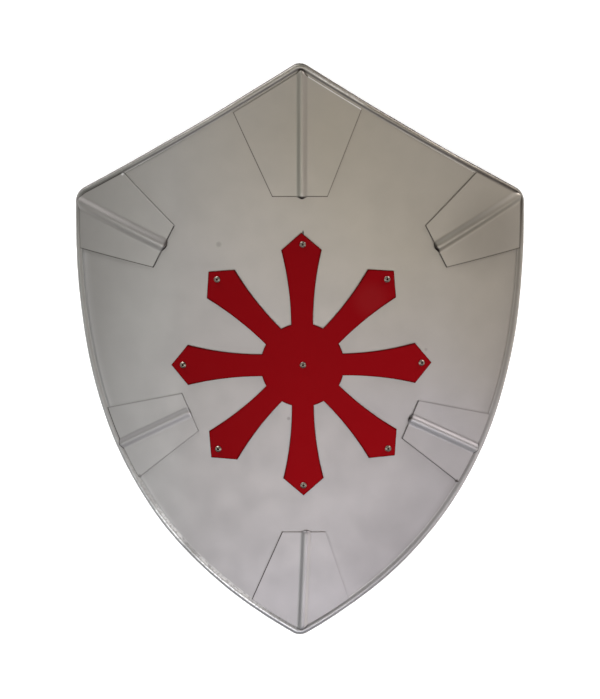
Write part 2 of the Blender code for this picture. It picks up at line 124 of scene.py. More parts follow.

# Painted light and shade of the gussets seen inwards: -1 is painted light, 1 is dark, and over 1
# widens a dark line. The edges carry dark seams with painted shade, the nose and the bead's outer
# end painted shadow, and the flanks and crest painted shade and painted highlight
SHADE_PLACES = (
    "inner", "right", "left", "outer_right", "outer_left",
    "nose", "end", "right_flank", "left_flank", "crest",
)
GUSSET_SHADE_AND_WEAR = {
    "top": (1.3, 1.0, 0.8, 0.6, -0.8, 1.0, 2.0, 0.0, -0.02, 0.0),
    "upper_right": (1.2, 0.5, 1.0, 0.4, 0.8, 1.0, 0.8, -0.04, 0.36, 0.07),
    "upper_left": (1.3, 1.1, -0.05, 0.5, 1.2, 0.8, 1.0, 0.0, 0.04, 0.02),
    "lower_right": (0.9, 0.4, 1.0, 0.4, 0.6, 1.0, 0.9, -0.06, -0.15, -0.10),
    "lower_left": (-0.9, 0.4, 0.5, 0.6, 1.3, -0.3, 1.6, 0.06, -0.09, 0.02),
    "bottom": (0.6, 0.15, 2.0, 0.1, 0.1, 0.0, 0.6, -0.24, 0.0, 0.0),
}

# Rivets: the radius of the circle they stand on, the roundings of the bore's lip and of the
# head's edge, how far that edge stands off the cross, and the painted shade on the head's lower half
RIVET_CIRCLE = 0.1222
LIP_ROUNDING = 0.00015
HEAD_ROUNDING = 0.0002
UNDERCUT = 0.00005
HEAD_SHADE = 0.5

# The bore and the broken stub in it: depths, how far the stub's dome falls, the stub's share of
# the bore and that of the hollow round it, and how blunt the tail behind the plate is
BORE_DEPTH = 0.0011
STUB_DEPTH = 0.00085
STUB_FALL = 0.0002
STUB_SHARE = 0.8
HOLLOW_SHARE = 0.85
TAIL_POWER = 0.6

# Rivets that sit off their places, to the right and up, by number: the middle one is 0
RIVETS_ASTRAY = {
    0: (0.0005, 0.0),
    1: (0.0012, -0.0003),
    2: (0.0005, 0.0006),
    4: (0.0, 0.0013),
    8: (0.0003, -0.0008),
}

# Border of the plate, by the share of its half width: how strong the painted light on the left
# is, where that begins, and the heights and the fade of it
LEFT_BORDER_LIGHT = 0.20
LEFT_BORDER_START = 0.95
LEFT_BORDER_HEIGHTS = (-0.17, 0.12, 0.03)

# How strong the painted shade on the right border is, how much more so low down, where that
# begins, the heights over which it grows, and the height above which the border has none
RIGHT_BORDER_SHADE = 0.08
RIGHT_BORDER_LOW_DOWN = 0.10
RIGHT_BORDER_START = 0.93
RIGHT_BORDER_HEIGHTS = (0.0, -0.10)
RIGHT_BORDER_TOP = 0.13

# Slow waves of the sheets: radians per metre across and along, and phase
SHEET_WAVES = ((38.0, 11.0, 0.7), (17.0, -31.0, 2.1), (-26.0, -47.0, 4.0))

# Touches of painted shade, or below nought of painted light, on the rod: strength, how much
# stronger to the right, side, heights from and to which it grows, and its middle and width round
# the rod, which is 1 inside, 0 at the crest and -1 outside
RIM_SHADE_TOUCHES = (
    (1.0, 1.0, 0, (0.10, 0.16), -0.75, 0.30),
    (-0.08, 0.0, 0, (0.16, 0.10), -0.2, 0.4),
    (-0.10, 0.0, -1, (0.0, -0.08), 0.2, 0.4),
    (-0.20, 0.0, 1, (-0.15, -0.20), 0.5, 0.25),
)

# Runs of painted highlight on the rod, by the share of its length clockwise from the top point:
# from, to, fade and strength, which is one where none is given. Along the cleaner run the painted
# shade is weaker and a faint painted highlight lies
HIGHLIGHT_RUNS = ((0.532, 0.582, 0.008, 1.0), (0.602, 0.624, 0.008, 1.0), (0.508, 0.522, 0.010, 0.6))
DULLER_HIGHLIGHT_RUN = (0.470, 0.495, 0.02, 0.15)
LESS_SHADED_RUN = (0.532, 0.650, 0.02)
TOP_HIGHLIGHT_RUN = (0.015, 0.045, 0.01, 0.6)

# Painted highlight lines of those runs by their middle and width round the rod, and the inner one's
# strength
CREST_HIGHLIGHT = (-0.02, 0.17)
INNER_HIGHLIGHT = (0.42, 0.20)
INNER_HIGHLIGHT_STRENGTH = 0.75
TOP_HIGHLIGHT = (-0.1, 0.20)

# How far the seam behind the rod is filled at the top edges, and the heights from and to which
# the rest of it fills
TOP_FILLING = 0.7
FILLING_HEIGHTS = (0.155, 0.140)

# Fineness of the meshes
CURVE_STEPS = 240
ARC_STEPS = 24
RIM_STATIONS = 1300
RIM_SIDES = 22
FILLET_SIDES = 12
PLATE_ROWS = 210
PLATE_COLUMNS = 130
BEAD_COLUMNS = 29
FLAT_COLUMNS = 18
GUSSET_ROWS = 60
NOSE_ROWS = 12
ARM_ROWS = 64
ARM_COLUMNS = 22
GAP_COLUMNS = 10
HUB_RINGS = 30
RIVET_SECTORS = 48
WELD = 0.000002

# Marks on the silver: tone, flat place, radius, strength, and how many times slimmer across.
# The stains are painted warm tints of light, the wide grime marks painted shade near the edges and
# the wide bare marks painted light; the small grime marks are dirty marks, the slim one a tick,
# and the small bare one a pale spot
SILVER_MARKS_AND_PAINTED_LIGHT = (
    ("stain", (0.13, 0.20), 0.26, 0.75, 1.0),
    ("stain", (0.23, 0.02), 0.12, 0.3, 1.0),
    ("grime", (-0.09, -0.21), 0.070, 0.05, 1.0),
    ("grime", (0.10, -0.21), 0.075, 0.15, 1.0),
    ("grime", (0.16, -0.12), 0.055, 0.06, 1.0),
    ("grime", (0.196, 0.115), 0.050, 0.16, 1.0),
    ("grime", (0.0032, 0.1186), 0.0034, 1.0, 3.0),
    ("grime", (-0.0826, 0.1067), 0.0035, 0.25, 1.0),
    ("grime", (-0.0114, -0.0694), 0.0022, 0.35, 1.0),
    ("grime", (0.1299, -0.0006), 0.0022, 0.2, 1.0),
    ("grime", (-0.1673, -0.1305), 0.0026, 0.5, 1.0),
    ("grime", (0.1635, -0.1355), 0.0022, 1.0, 1.0),
    ("bare", (-0.1852, 0.1771), 0.0022, 0.7, 1.0),
    ("bare", (0.0, 0.10), 0.12, 0.030, 1.0),
    ("bare", (0.0, -0.175), 0.10, 0.018, 1.0),
)
# Painted reflection: a pale patch on the upper right arm of the cross
RED_REFLECTION_SPOT = ((0.0713, 0.0507), 0.022, 0.12, 1.0)
# Painted light tint of the silver: warmer at the top, bluer low down
UPPER_TINT = (1.0, 0.99, 0.93)
LOWER_TINT = (0.97, 0.97, 1.01)

# Lamps: bearing and rise in degrees, size in metres, tint
LAMP_DISTANCE = 2.0
LAMPS = {
    "key": (45.0, 8.0, (0.7, 0.4), (1.0, 0.94, 0.95)),
    "back": (120.0, 8.0, (0.7, 0.4), (0.99, 0.97, 1.0)),
    "upper": (110.0, 22.0, (0.7, 0.7), (0.93, 0.98, 0.96)),
    "left": (200.0, 42.0, (0.8, 0.8), (0.94, 1.0, 0.96)),
    "right": (335.0, 42.0, (0.8, 0.8), (0.95, 0.94, 1.0)),
    "lower_right": (340.0, 20.0, (0.7, 0.7), (1.0, 0.90, 0.80)),
    "overhead": (270.0, 74.0, (2.6, 0.9), (1.0, 0.89, 0.76)),
    "front": (270.0, 60.0, (2.4, 0.9), (0.80, 0.86, 1.0)),
}

# Floor and backdrop: half the floor's side, where it grows bright, and the ball's radius
FLOOR_REACH = 4.0
FLOOR_FADE = (1.0, 1.8)
BACKDROP_RADIUS = 15.0
WHITE = (1.0, 1.0, 1.0, 1.0)

# The photograph's frame and camera
IMAGE_WIDTH = 600
IMAGE_HEIGHT = 699
CAMERA_DISTANCE = 4.0
CAMERA_TILT = math.radians(4.0)
FOCAL_PIXELS = 3956.06
IMAGE_CENTRE = (299.888, 350.189)
SENSOR_HEIGHT = 24.0
FARTHEST_SEEN = 50.0


# Settings


def setting(kind, **limits):
    """A maker of one kind of setting, each from its name, its description and its default."""

    def made(name, description, default):
        return kind(name=name, description=description, default=default, min=0.0, **limits)

    return made


length = setting(bpy.props.FloatProperty, precision=4, unit="LENGTH")
share = setting(bpy.props.FloatProperty, max=1.0, subtype="FACTOR")
power = setting(bpy.props.FloatProperty, unit="POWER")
colour = setting(bpy.props.FloatVectorProperty, size=3, max=1.0, subtype="COLOR")


class ShieldSizes(bpy.types.PropertyGroup):
    """Sizes of the sheets, the rim, the beads and the rivets."""

    width: length("Width", "Across the shield, outside the rim", CAD_HIGH.x - CAD_LOW.x)
    height: length("Height", "From point to point along the shield, outside the rim", 0.580)
    bow_radius: length("Bow radius", "Radius of the plate's front face", 0.450)
    rim_diameter: length("Rim diameter", "Thickness of the round rod along the edge", 0.0075)
    rim_drop: length("Rim drop", "Depth of the rod's middle behind the plate's front", 0.0026)
    rim_dents: length("Rim dents", "How uneven the rod is", 0.00010)
    rim_wander: length("Rim wander", "How far the rod's outer side swings in and out", 0.0004)
    rim_seam: length("Rim seam", "Gap between the rod and the plate", 0.0003)
    fillet_width: length("Fillet width", "Reach of the filled seam from the rod's middle", 0.0048)
    plate_thickness: length("Plate thickness", "Thickness of the plate", 0.0012)
    plate_waves: length("Plate waves", "How far the sheets wave from a true bow", 0.00016)
    gusset_thickness: length("Gusset thickness", "Thickness of each gusset", 0.0010)
    gusset_rim_gap: length("Gusset gap", "Gap between the rod and a gusset", 0.0012)
    top_gusset_rim_gap: length("Top gusset gap", "Gap between the rod and the top gusset", 0.0032)
    cross_thickness: length("Cross thickness", "Thickness of the cross", 0.0012)
    sheet_gap: length("Sheet gap", "Gap between the plate and what lies on it", 0.0003)
    edge_rounding: length("Edge rounding", "Rounding of a cut sheet's edges", 0.00022)
    bead_width: length("Bead width", "Usual width of the bead pressed into a gusset", 0.013)
    upper_left_bead_width: length("Upper left bead width", "Width of that gusset's bead", 0.017)
    upper_right_bead_width: length("Upper right bead width", "Width of that gusset's bead", 0.0145)
    top_bead: length("Top bead", "Height of the top gusset's bead", 0.0032)
    upper_left_bead: length("Upper left bead", "Height of that gusset's bead", 0.0022)
    upper_right_bead: length("Upper right bead", "Height of that gusset's bead", 0.0028)
    lower_left_bead: length("Lower left bead", "Height of that gusset's bead", 0.0014)
    lower_right_bead: length("Lower right bead", "Height of that gusset's bead", 0.0024)
    bottom_bead: length("Bottom bead", "Height of the bottom gusset's bead", 0.0030)
    nose_length: length("Nose length", "Length of a bead's rounded inner end", 0.0030)
    bead_overhang: length("Bead overhang", "How far a bead's outer end reaches over the rod", 0.0025)
    # The line along a cut edge is a dark seam with painted shade
    dark_line_width: length("Dirt width", "Width of the dirty line along a cut edge", 0.0012)
    rivet_head: length("Rivet head", "Diameter of a rivet's head", 0.0064)
    rivet_head_height: length("Rivet head height", "Height of a rivet's head", 0.0012)
    rivet_bore: length("Rivet bore", "Diameter of the hole in a rivet's head", 0.0024)
    rivet_shank: length("Rivet shank", "Diameter of a rivet's shank", 0.0036)
    rivet_tail: length("Rivet tail", "Diameter of the swelled tail behind the plate", 0.0054)
    rivet_tail_length: length("Rivet tail length", "Length of that tail", 0.0038)


class ShieldFinishes(bpy.types.PropertyGroup):
    """Colours and gloss of the shield's finishes."""

    silver: colour("Silver", "Satin silver of the plate and the gussets", (0.262, 0.250, 0.246))
    silver_metal: share("Silver metal", "How metallic the silver is", 0.95)
    silver_roughness: share("Silver roughness", "Roughness of the silver", 0.55)
    silver_lacquer: share("Silver lacquer", "Clear lacquer over the silver", 0.15)
    rim: colour("Rim", "Silver of the rod", (0.275, 0.268, 0.262))
    rim_roughness: share("Rim roughness", "Roughness of the rod", 0.52)
    red: colour("Red", "Paint of the cross", (0.175, 0.0012, 0.0030))
    red_roughness: share("Red roughness", "Roughness of the paint", 0.48)
    red_shine: share("Red shine", "Strength of the paint's reflections", 0.015)
    # Colour of the painted reflection on one arm
    red_reflection: colour("Red haze", "Dull haze on the paint", (0.24, 0.030, 0.030))
    rivet: colour("Rivet", "Dull metal of the rivets", (0.24, 0.20, 0.165))
    rivet_roughness: share("Rivet roughness", "Roughness of the rivets", 0.36)
    # Dark colour of dirty marks and of painted shade
    grime: colour("Grime", "Dirt in holes and marks", (0.020, 0.015, 0.012))
    # Pale colour of painted light and highlights, and of a pale spot
    bare: colour("Bare metal", "Silver worn bright", (0.80, 0.80, 0.80))
    # Painted warm tint of light at the upper right and the right
    stain: colour("Stain", "Yellowed lacquer at the upper right", (0.262, 0.240, 0.190))


class ShieldStage(bpy.types.PropertyGroup):
    """Floor and lights."""

    floor: colour("Floor", "Pale floor", (0.90, 0.90, 0.90))
    floor_glow: share("Floor glow", "How far the floor is lit from beneath", 0.42)
    world: share("Room light", "Brightness of the room", 0.0)
    key: power("Key lamp", "Soft lamp very low at the upper right", 27.4)
    back: power("Back lamp", "Soft lamp very low at the upper left", 33.9)
    upper: power("Upper lamp", "Soft lamp low above the top point", 14.2)
    left: power("Left lamp", "Soft lamp at the left", 9.0)
    right: power("Right lamp", "Soft lamp at the lower right", 7.8)
    lower_right: power("Lower right lamp", "Soft lamp low at the right", 5.6)
    overhead: power("Overhead lamp", "Wide soft lamp above", 19.4)
    front: power("Front lamp", "Wide soft lamp above the lower point", 23.6)


# Outline


def unit(vectors):
    """Vectors divided by their own lengths."""
    return vectors / np.linalg.norm(vectors, axis=-1, keepdims=True)


def heading(angle):
    """Unit vector at an angle above the direction that points right."""
    return np.stack([np.cos(angle), np.sin(angle)], axis=-1)


def left_of(vectors):
    """Flat vectors turned a quarter turn to the left."""
    return np.stack([-vectors[..., 1], vectors[..., 0]], axis=-1)


def crossed(first, second):
    """First across times second up, less first up times second across."""
    return first[..., 0] * second[..., 1] - first[..., 1] * second[..., 0]


def bezier(start, start_handle, end_handle, end):
    """Cubic curve: the four knots weighted by the cubic powers of t and of one less t."""
    t = np.linspace(0.0, 1.0, CURVE_STEPS)[:, None]
    early = (1 - t) ** 3 * start + 3 * (1 - t) ** 2 * t * start_handle
    return early + 3 * (1 - t) * t ** 2 * end_handle + t ** 3 * end


def mirrored(line):
    """A line on the other side of the upright middle line, run the other way."""
    return line[::-1] * np.array([-1.0, 1.0])


def rounded_loop(lines, radii):
    """Closed line: the given lines in turn, with an arc of its radius at the start of each one.

    The arc's middle is on the bisector of the corner, at the radius over the sine of half its
    angle, and the lines are cut back from the corner by the radius over the tangent of it.
    """
    arcs = []
    cuts = []
    for index, radius in enumerate(radii):
        corner = lines[index][0]
        ahead = unit(lines[index][1] - corner)
        behind = unit(lines[index - 1][-2] - corner)
        half = math.acos(float(ahead @ behind)) / 2
        centre = corner + unit(ahead + behind) * radius / math.sin(half)
        cut = radius / math.tan(half)
        first = corner + behind * cut - centre
        last = corner + ahead * cut - centre
        sweep = math.atan2(float(crossed(first, last)), float(first @ last))
        start = math.atan2(first[1], first[0])
        angles = start + sweep * np.linspace(0.0, 1.0, ARC_STEPS)
        arcs.append(centre + heading(angles) * radius)
        cuts.append(cut)
    loop = []
    for index, line in enumerate(lines):
        from_start = np.linalg.norm(line - line[0], axis=1)
        from_end = np.linalg.norm(line - line[-1], axis=1)
        kept = (from_start > cuts[index]) & (from_end > cuts[(index + 1) % len(lines)])
        loop += [arcs[index], line[kept]]
    return np.concatenate(loop)


def evenly(loop, count):
    """Closed line with points at equal steps of its length."""
    closed = np.concatenate([loop, loop[:1]])
    run = np.concatenate([[0.0], np.cumsum(np.linalg.norm(np.diff(closed, axis=0), axis=1))])
    stations = np.linspace(0.0, run[-1], count, endpoint=False)
    return np.stack([np.interp(stations, run, closed[:, axis]) for axis in (0, 1)], axis=1)


def unrolled(points, sizes):
    """Points of the rim's middle line seen from the front, laid on the flat blank.

    Across the blank a point lies at the bow radius times the arcsine of its place over the bow
    radius less the rim's drop.
    """
    angle = np.arcsin(points[..., 0] / (sizes.bow_radius - sizes.rim_drop))
    return np.stack([sizes.bow_radius * angle, points[..., 1]], axis=-1)


def side_line(sizes):
    """Middle line of the rim down the right side, seen from the front: one cubic curve.

    It is stretched across until its widest point is half the width less half the rod.
    """
    rod = sizes.rim_diameter / 2
    half_width = sizes.width / 2 - rod
    top = sizes.height / 2
    corner = np.array([half_width, top - SHOULDER_DROP])
    tip = np.array([0.0, -top + rod - TIP_ROUNDING * (1 / math.cos(TIP_SLOPE) - 1)])
    leaving = heading(SHOULDER_LEAN - math.pi / 2) * UPPER_SIDE_HANDLE
    arriving = heading(TIP_SLOPE) * LOWER_SIDE_HANDLE
    side = bezier(corner, corner + leaving, tip + arriving, tip)
    side[:, 0] *= half_width / side[:, 0].max()
    return side


def rim_line(sizes):
    """Closed middle line of the rim on the flat blank, clockwise from the top point.

    Seen from the front it is two hollow top edges and two cubic sides, with rounded corners.
    """
    side = side_line(sizes)
    corner = side[0]
    peak = np.array([0.0, sizes.height / 2 - sizes.rim_diameter / 2])
    chord = corner - peak
    slope = math.atan2(-chord[1], chord[0])
    slope += math.atan2(4 * TOP_EDGE_HOLLOW, np.linalg.norm(chord))
    peak[1] += TOP_ROUNDING * (1 / math.cos(slope) - 1)
    chord = corner - peak
    dip = unit(left_of(chord)) * (-TOP_EDGE_HOLLOW * 4 / 3)
    edge = bezier(peak, peak + chord / 3 + dip, corner - chord / 3 + dip, corner)
    lines = [edge, side, mirrored(side), mirrored(edge)]
    radii = [TOP_ROUNDING, SHOULDER_ROUNDING, TIP_ROUNDING, SHOULDER_ROUNDING]
    return unrolled(evenly(rounded_loop(lines, radii), RIM_STATIONS), sizes)


def beside_rim(sizes, back_height, gap):
    """Distance from the rim's middle line at which a sheet keeps a gap to the rod.

    The rod is widest beside the sheet's back, whose height above the plate's front face is given.
    """
    rise = back_height + sizes.rim_drop
    return math.sqrt(max((sizes.rim_diameter / 2) ** 2 - rise ** 2, 0.0)) + gap


def inset(loop, distance):
    """A closed clockwise line moved inwards by the distance, square to itself."""
    tangent = unit(np.roll(loop, -1, axis=0) - np.roll(loop, 1, axis=0))
    return loop - left_of(tangent) * distance


# Bow and rest


def rolled(flat, height, sizes):
    """Flat points on the bow, at a height above the plate's front face.

    The angle is across over the bow radius. The place is (bow radius + height) times the sine of
    it, then along, then (bow radius + height) times the cosine, less the bow radius.
    """
    angle = flat[..., 0] / sizes.bow_radius
    radius = sizes.bow_radius + height
    low = radius * np.cos(angle) - sizes.bow_radius
    return np.stack([radius * np.sin(angle), flat[..., 1] + 0.0 * angle, low], axis=-1)


def box_middle(node):
    """Middle of a solid's box."""
    low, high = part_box(node)
    return (Vector(low) + Vector(high)) / 2


def rest_turn():
    """The shield's turn about X as it lies, from the rivets at the ends of the upright arms."""
    rise = box_middle("arm_rivet_1") - box_middle("arm_rivet_5")
    return math.atan2(rise.z, rise.y)


def set_down(points, sizes):
    """Points of the upright shield turned about X to the angle of rest, and lifted onto the floor."""
    turn = rest_turn()
    rim = rolled(rim_line(sizes), -sizes.rim_drop, sizes)
    lowest = (rim[:, 1] * math.sin(turn) + rim[:, 2] * math.cos(turn)).min()
    placed = np.empty_like(points)
    placed[..., 0] = points[..., 0]
    placed[..., 1] = points[..., 1] * math.cos(turn) - points[..., 2] * math.sin(turn)
    placed[..., 2] = points[..., 1] * math.sin(turn) + points[..., 2] * math.cos(turn)
    placed[..., 2] += sizes.rim_diameter / 2 - lowest
    return placed


def waves(flat, sizes):
    """Unevenness of the rolled sheet: slow sines across each other, all below the bow."""
    total = 0.0
    for across, along, phase in SHEET_WAVES:
        total = total + np.sin(across * flat[..., 0] + along * flat[..., 1] + phase)
    return (total / len(SHEET_WAVES) - 1) * sizes.plate_waves


# Meshes


def ramp(value, start, end):
    """Nought at the start, one at the end and beyond, and straight between them."""
    return np.clip((value - start) / (end - start), 0.0, 1.0)


def bell(value, middle, width):
    """One at the middle, falling to both sides as e to the less square of the share of the width."""
    return np.exp(-(((value - middle) / width) ** 2))


def bump_between(value, low, high, fade, strength=1.0):
    """The strength between low and high, falling straight to nought over the fade outside them."""
    return strength * np.clip(np.minimum(value - low, high - value) / fade + 1, 0.0, 1.0)


def grid_faces(rows, columns, closed):
    """Corner numbers of the quads of a grid of rows and columns, whose columns may close a ring."""
    index = np.arange(rows * columns).reshape(rows, columns)
    if closed:
        index = np.concatenate([index, index[:, :1]], axis=1)
    corners = [index[:-1, :-1], index[1:, :-1], index[1:, 1:], index[:-1, 1:]]
    return np.stack(corners, axis=-1).reshape(-1, 4)


def welded_mesh(name, grids, wear, closed=False):
    """One smooth mesh of several grids of points, joined where their points meet.

    The painted light and shade of each point, with some dirt, is kept with it for the finish: from
    -1, painted light, to 1, painted shade or dirt.
    """
    points = []
    faces = []
    count = 0
    for grid in grids:
        rows, columns = grid.shape[:2]
        points.append(grid.reshape(-1, 3))
        faces.append(grid_faces(rows, columns, closed) + count)
        count += rows * columns
    mesh = bpy.data.meshes.new(name)
    mesh.from_pydata(np.concatenate(points).tolist(), [], np.concatenate(faces).tolist())
    values = [np.broadcast_to(part, grid.shape[:2]).ravel() for part, grid in zip(wear, grids)]
    kept = mesh.attributes.new(SHADE_AND_WEAR, "FLOAT", "POINT")
    kept.data.foreach_set("value", np.concatenate(values).astype(np.float32))
    work = bmesh.new()
    work.from_mesh(mesh)
    bmesh.ops.remove_doubles(work, verts=work.verts, dist=WELD)
    work.to_mesh(mesh)
    work.free()
    mesh.shade_smooth()
    return mesh


def looks():
    """Collection that holds the shield's pieces."""
    name = "heater_shield"
    if name not in bpy.data.collections:
        bpy.context.scene.collection.children.link(bpy.data.collections.new(name))
    return bpy.data.collections[name]


def finished(name, mesh, surface):
    """The piece for one solid, with its finish, riding on the shield."""
    mesh.materials.append(surface)
    piece = bpy.data.objects.new(name + "_look", mesh)
    looks().objects.link(piece)
    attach(piece, BODY)
    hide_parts(name)
    return piece


def thicken(piece, thickness, rounding):
    """Give an open sheet its thickness behind its front face, and round its edges."""
    wall = piece.modifiers.new("thickness", "SOLIDIFY")
    wall.thickness = thickness
    wall.offset = -1.0
    wall.use_even_offset = True
    wall.use_quality_normals = True
    if rounding:
        edge = piece.modifiers.new("edges", "BEVEL")
        edge.width = rounding
        edge.segments = 2
        edge.limit_method = "ANGLE"
        edge.angle_limit = math.radians(50)
        edge.harden_normals = True


# Plate and rim


def plate_mesh(sizes):
    """Front of the plate: rows level across it, each from one side of its outline to the other.

    A point is its row's half width times u, where u runs from -1 to 1, at the row's height. Its
    border carries a little painted light on the left and a little painted shade on the right, more so
    low down.
    """
    edge = beside_rim(sizes, -sizes.plate_thickness, sizes.rim_seam)
    loop = inset(rim_line(sizes), edge)
    right = loop[np.argmax(loop[:, 1]):]
    right = right[: np.argmin(right[:, 1]) + 1]
    spread = (1 - np.cos(np.linspace(0.0, math.pi, PLATE_ROWS))) / 2
    share_down = 0.5 * spread + 0.5 * np.linspace(0.0, 1.0, PLATE_ROWS)
    level = right[0, 1] + (right[-1, 1] - right[0, 1]) * share_down
    half_width = np.interp(-level, -right[:, 1], right[:, 0])[:, None]
    half_width[[0, -1]] = 0.0
    level = level[:, None]
    u = np.linspace(-1.0, 1.0, PLATE_COLUMNS)
    flat = np.stack(np.broadcast_arrays(half_width * u, level), axis=-1)
    placed = set_down(rolled(flat, waves(flat, sizes), sizes), sizes)
    # Painted light on the left border, painted shade on the right
    bright = LEFT_BORDER_LIGHT * ramp(-u, LEFT_BORDER_START, 1.0) ** 2
    bright = bright * bump_between(level, *LEFT_BORDER_HEIGHTS)
    dirty = RIGHT_BORDER_SHADE + RIGHT_BORDER_LOW_DOWN * ramp(level, *RIGHT_BORDER_HEIGHTS)
    dirty = dirty * ramp(u, RIGHT_BORDER_START, 1.0) * (level < RIGHT_BORDER_TOP)
    return welded_mesh("shield_plate", [placed], [dirty - bright])


def rim_shade_and_highlights(line, turn):
    """Painted shade and highlights of the rod, by the share of its length from the top point and by
    the place round it.

    Painted shade lies just inside the crest, in the seam, most at the top edges and more on the
    right, and on the outer side of the top edges. At the lower left two long runs of the crest and a
    thinner line beside it carry painted highlights, less so at the lower right, and so does a short
    run near the top.
    """
    share_along = np.linspace(0.0, 1.0, RIM_STATIONS, endpoint=False)[:, None]
    inner = np.cos(turn)
    side = line[:, :1]
    height = line[:, 1:]
    upper = ramp(height, 0.10, 0.16)
    middle = 0.40 + upper * (0.12 - np.abs(side) - 0.6 * np.maximum(side, 0.0))
    dirt = 0.10 + 0.50 * ramp(height, -0.15, 0.15) + 0.25 * upper
    dirt = dirt * (1 + 0.6 * side) * bell(inner, middle, 0.30)
    for strength, to_right, wanted, heights, place, width in RIM_SHADE_TOUCHES:
        there = (side * wanted > 0) | (wanted == 0)
        there = there * (1 + to_right * side) * ramp(height, *heights)
        dirt = dirt + strength * there * bell(inner, place, width)
    cleaner = bump_between(share_along, *LESS_SHADED_RUN)
    dirt = dirt * (1 - 0.8 * cleaner)
    lower = sum(bump_between(share_along, *run) for run in HIGHLIGHT_RUNS)
    lower = np.maximum(lower, bump_between(share_along, *DULLER_HIGHLIGHT_RUN))
    crest = bell(inner, *CREST_HIGHLIGHT)
    beside = INNER_HIGHLIGHT_STRENGTH * bell(inner, *INNER_HIGHLIGHT)
    bright = np.maximum(lower, 0.3 * cleaner) * np.maximum(crest, beside)
    top = bump_between(share_along, *TOP_HIGHLIGHT_RUN) * bell(inner, *TOP_HIGHLIGHT)
    return np.where(bright + top > 0.05, -np.maximum(bright, top), dirt)


def rim_mesh(sizes):
    """The rod: a circle carried along the rim's middle line, square to it.

    The circle stands on the bow's own outward direction and on what is square to that and to the
    line. Its radius varies by a sum of sines of the place along and round the rod, which is
    stronger on the right top edge, and its outer side swings in and out by slow sines. Between
    its crest and the plate the circle gives way, by the share that is filled, to a fillet, which
    falls to the plate as half a cosine. Less of it is filled at the top edges than at the sides.
    """
    line = rim_line(sizes)
    middle = rolled(line, -sizes.rim_drop, sizes)
    tangent = unit(np.roll(middle, -1, axis=0) - np.roll(middle, 1, axis=0))
    angle = line[:, 0] / sizes.bow_radius
    outward = np.stack([np.sin(angle), np.zeros_like(angle), np.cos(angle)], axis=1)
    inward = unit(np.cross(tangent, outward))
    outward = np.cross(inward, tangent)
    station = np.linspace(0.0, math.tau, RIM_STATIONS, endpoint=False)[:, None]
    seat = math.asin(sizes.rim_drop / (sizes.rim_diameter / 2))
    fall = np.linspace(0.0, 1.0, FILLET_SIDES)
    turn = math.pi / 2 - fall * (math.pi / 2 - seat)
    rest = np.linspace(seat, math.pi / 2 - math.tau, RIM_SIDES + 1)[1:-1]
    turn = np.concatenate([turn, rest])
    dents = np.sin(31 * station + 1.3 * np.sin(turn)) + np.sin(67 * station + 2 * turn + 1.0)
    dents = dents + 0.8 * np.sin(143 * station - turn + 2.6)
    rough = bell(station, 0.075 * math.tau, 0.3)
    dents = (dents + 2.2 * rough * np.sin(389 * station + 1.5 * np.sin(2 * turn))) / 5
    swing = (2.0 + np.sin(11 * station + 0.4) + np.sin(17 * station + 2.0)) / 4
    swing = swing * np.clip(-np.cos(turn), 0.0, 1.0) * sizes.rim_wander
    radius = sizes.rim_diameter / 2 - (1 - dents) * sizes.rim_dents - swing
    across = radius * np.cos(turn)
    up = radius * np.sin(turn)
    face = (sizes.rim_drop + waves(line, sizes))[:, None]
    fillet = face + (up[:, :1] - face) * (1 + np.cos(math.pi * fall)) / 2
    filled = TOP_FILLING + (1 - TOP_FILLING) * ramp(line[:, 1:], *FILLING_HEIGHTS)
    across[:, :FILLET_SIDES] += (sizes.fillet_width * fall - across[:, :FILLET_SIDES]) * filled
    up[:, :FILLET_SIDES] += (fillet - up[:, :FILLET_SIDES]) * filled
    tube = middle[:, None] + inward[:, None] * across[..., None] + outward[:, None] * up[..., None]
    placed = set_down(np.concatenate([tube, tube[:1]]), sizes)
    wear = rim_shade_and_highlights(line, turn)
    mesh = welded_mesh("edge_rim", [placed], [np.concatenate([wear, wear[:1]])], closed=True)
    mesh.set_sharp_from_angle(angle=math.radians(50))
    return mesh


# Gussets


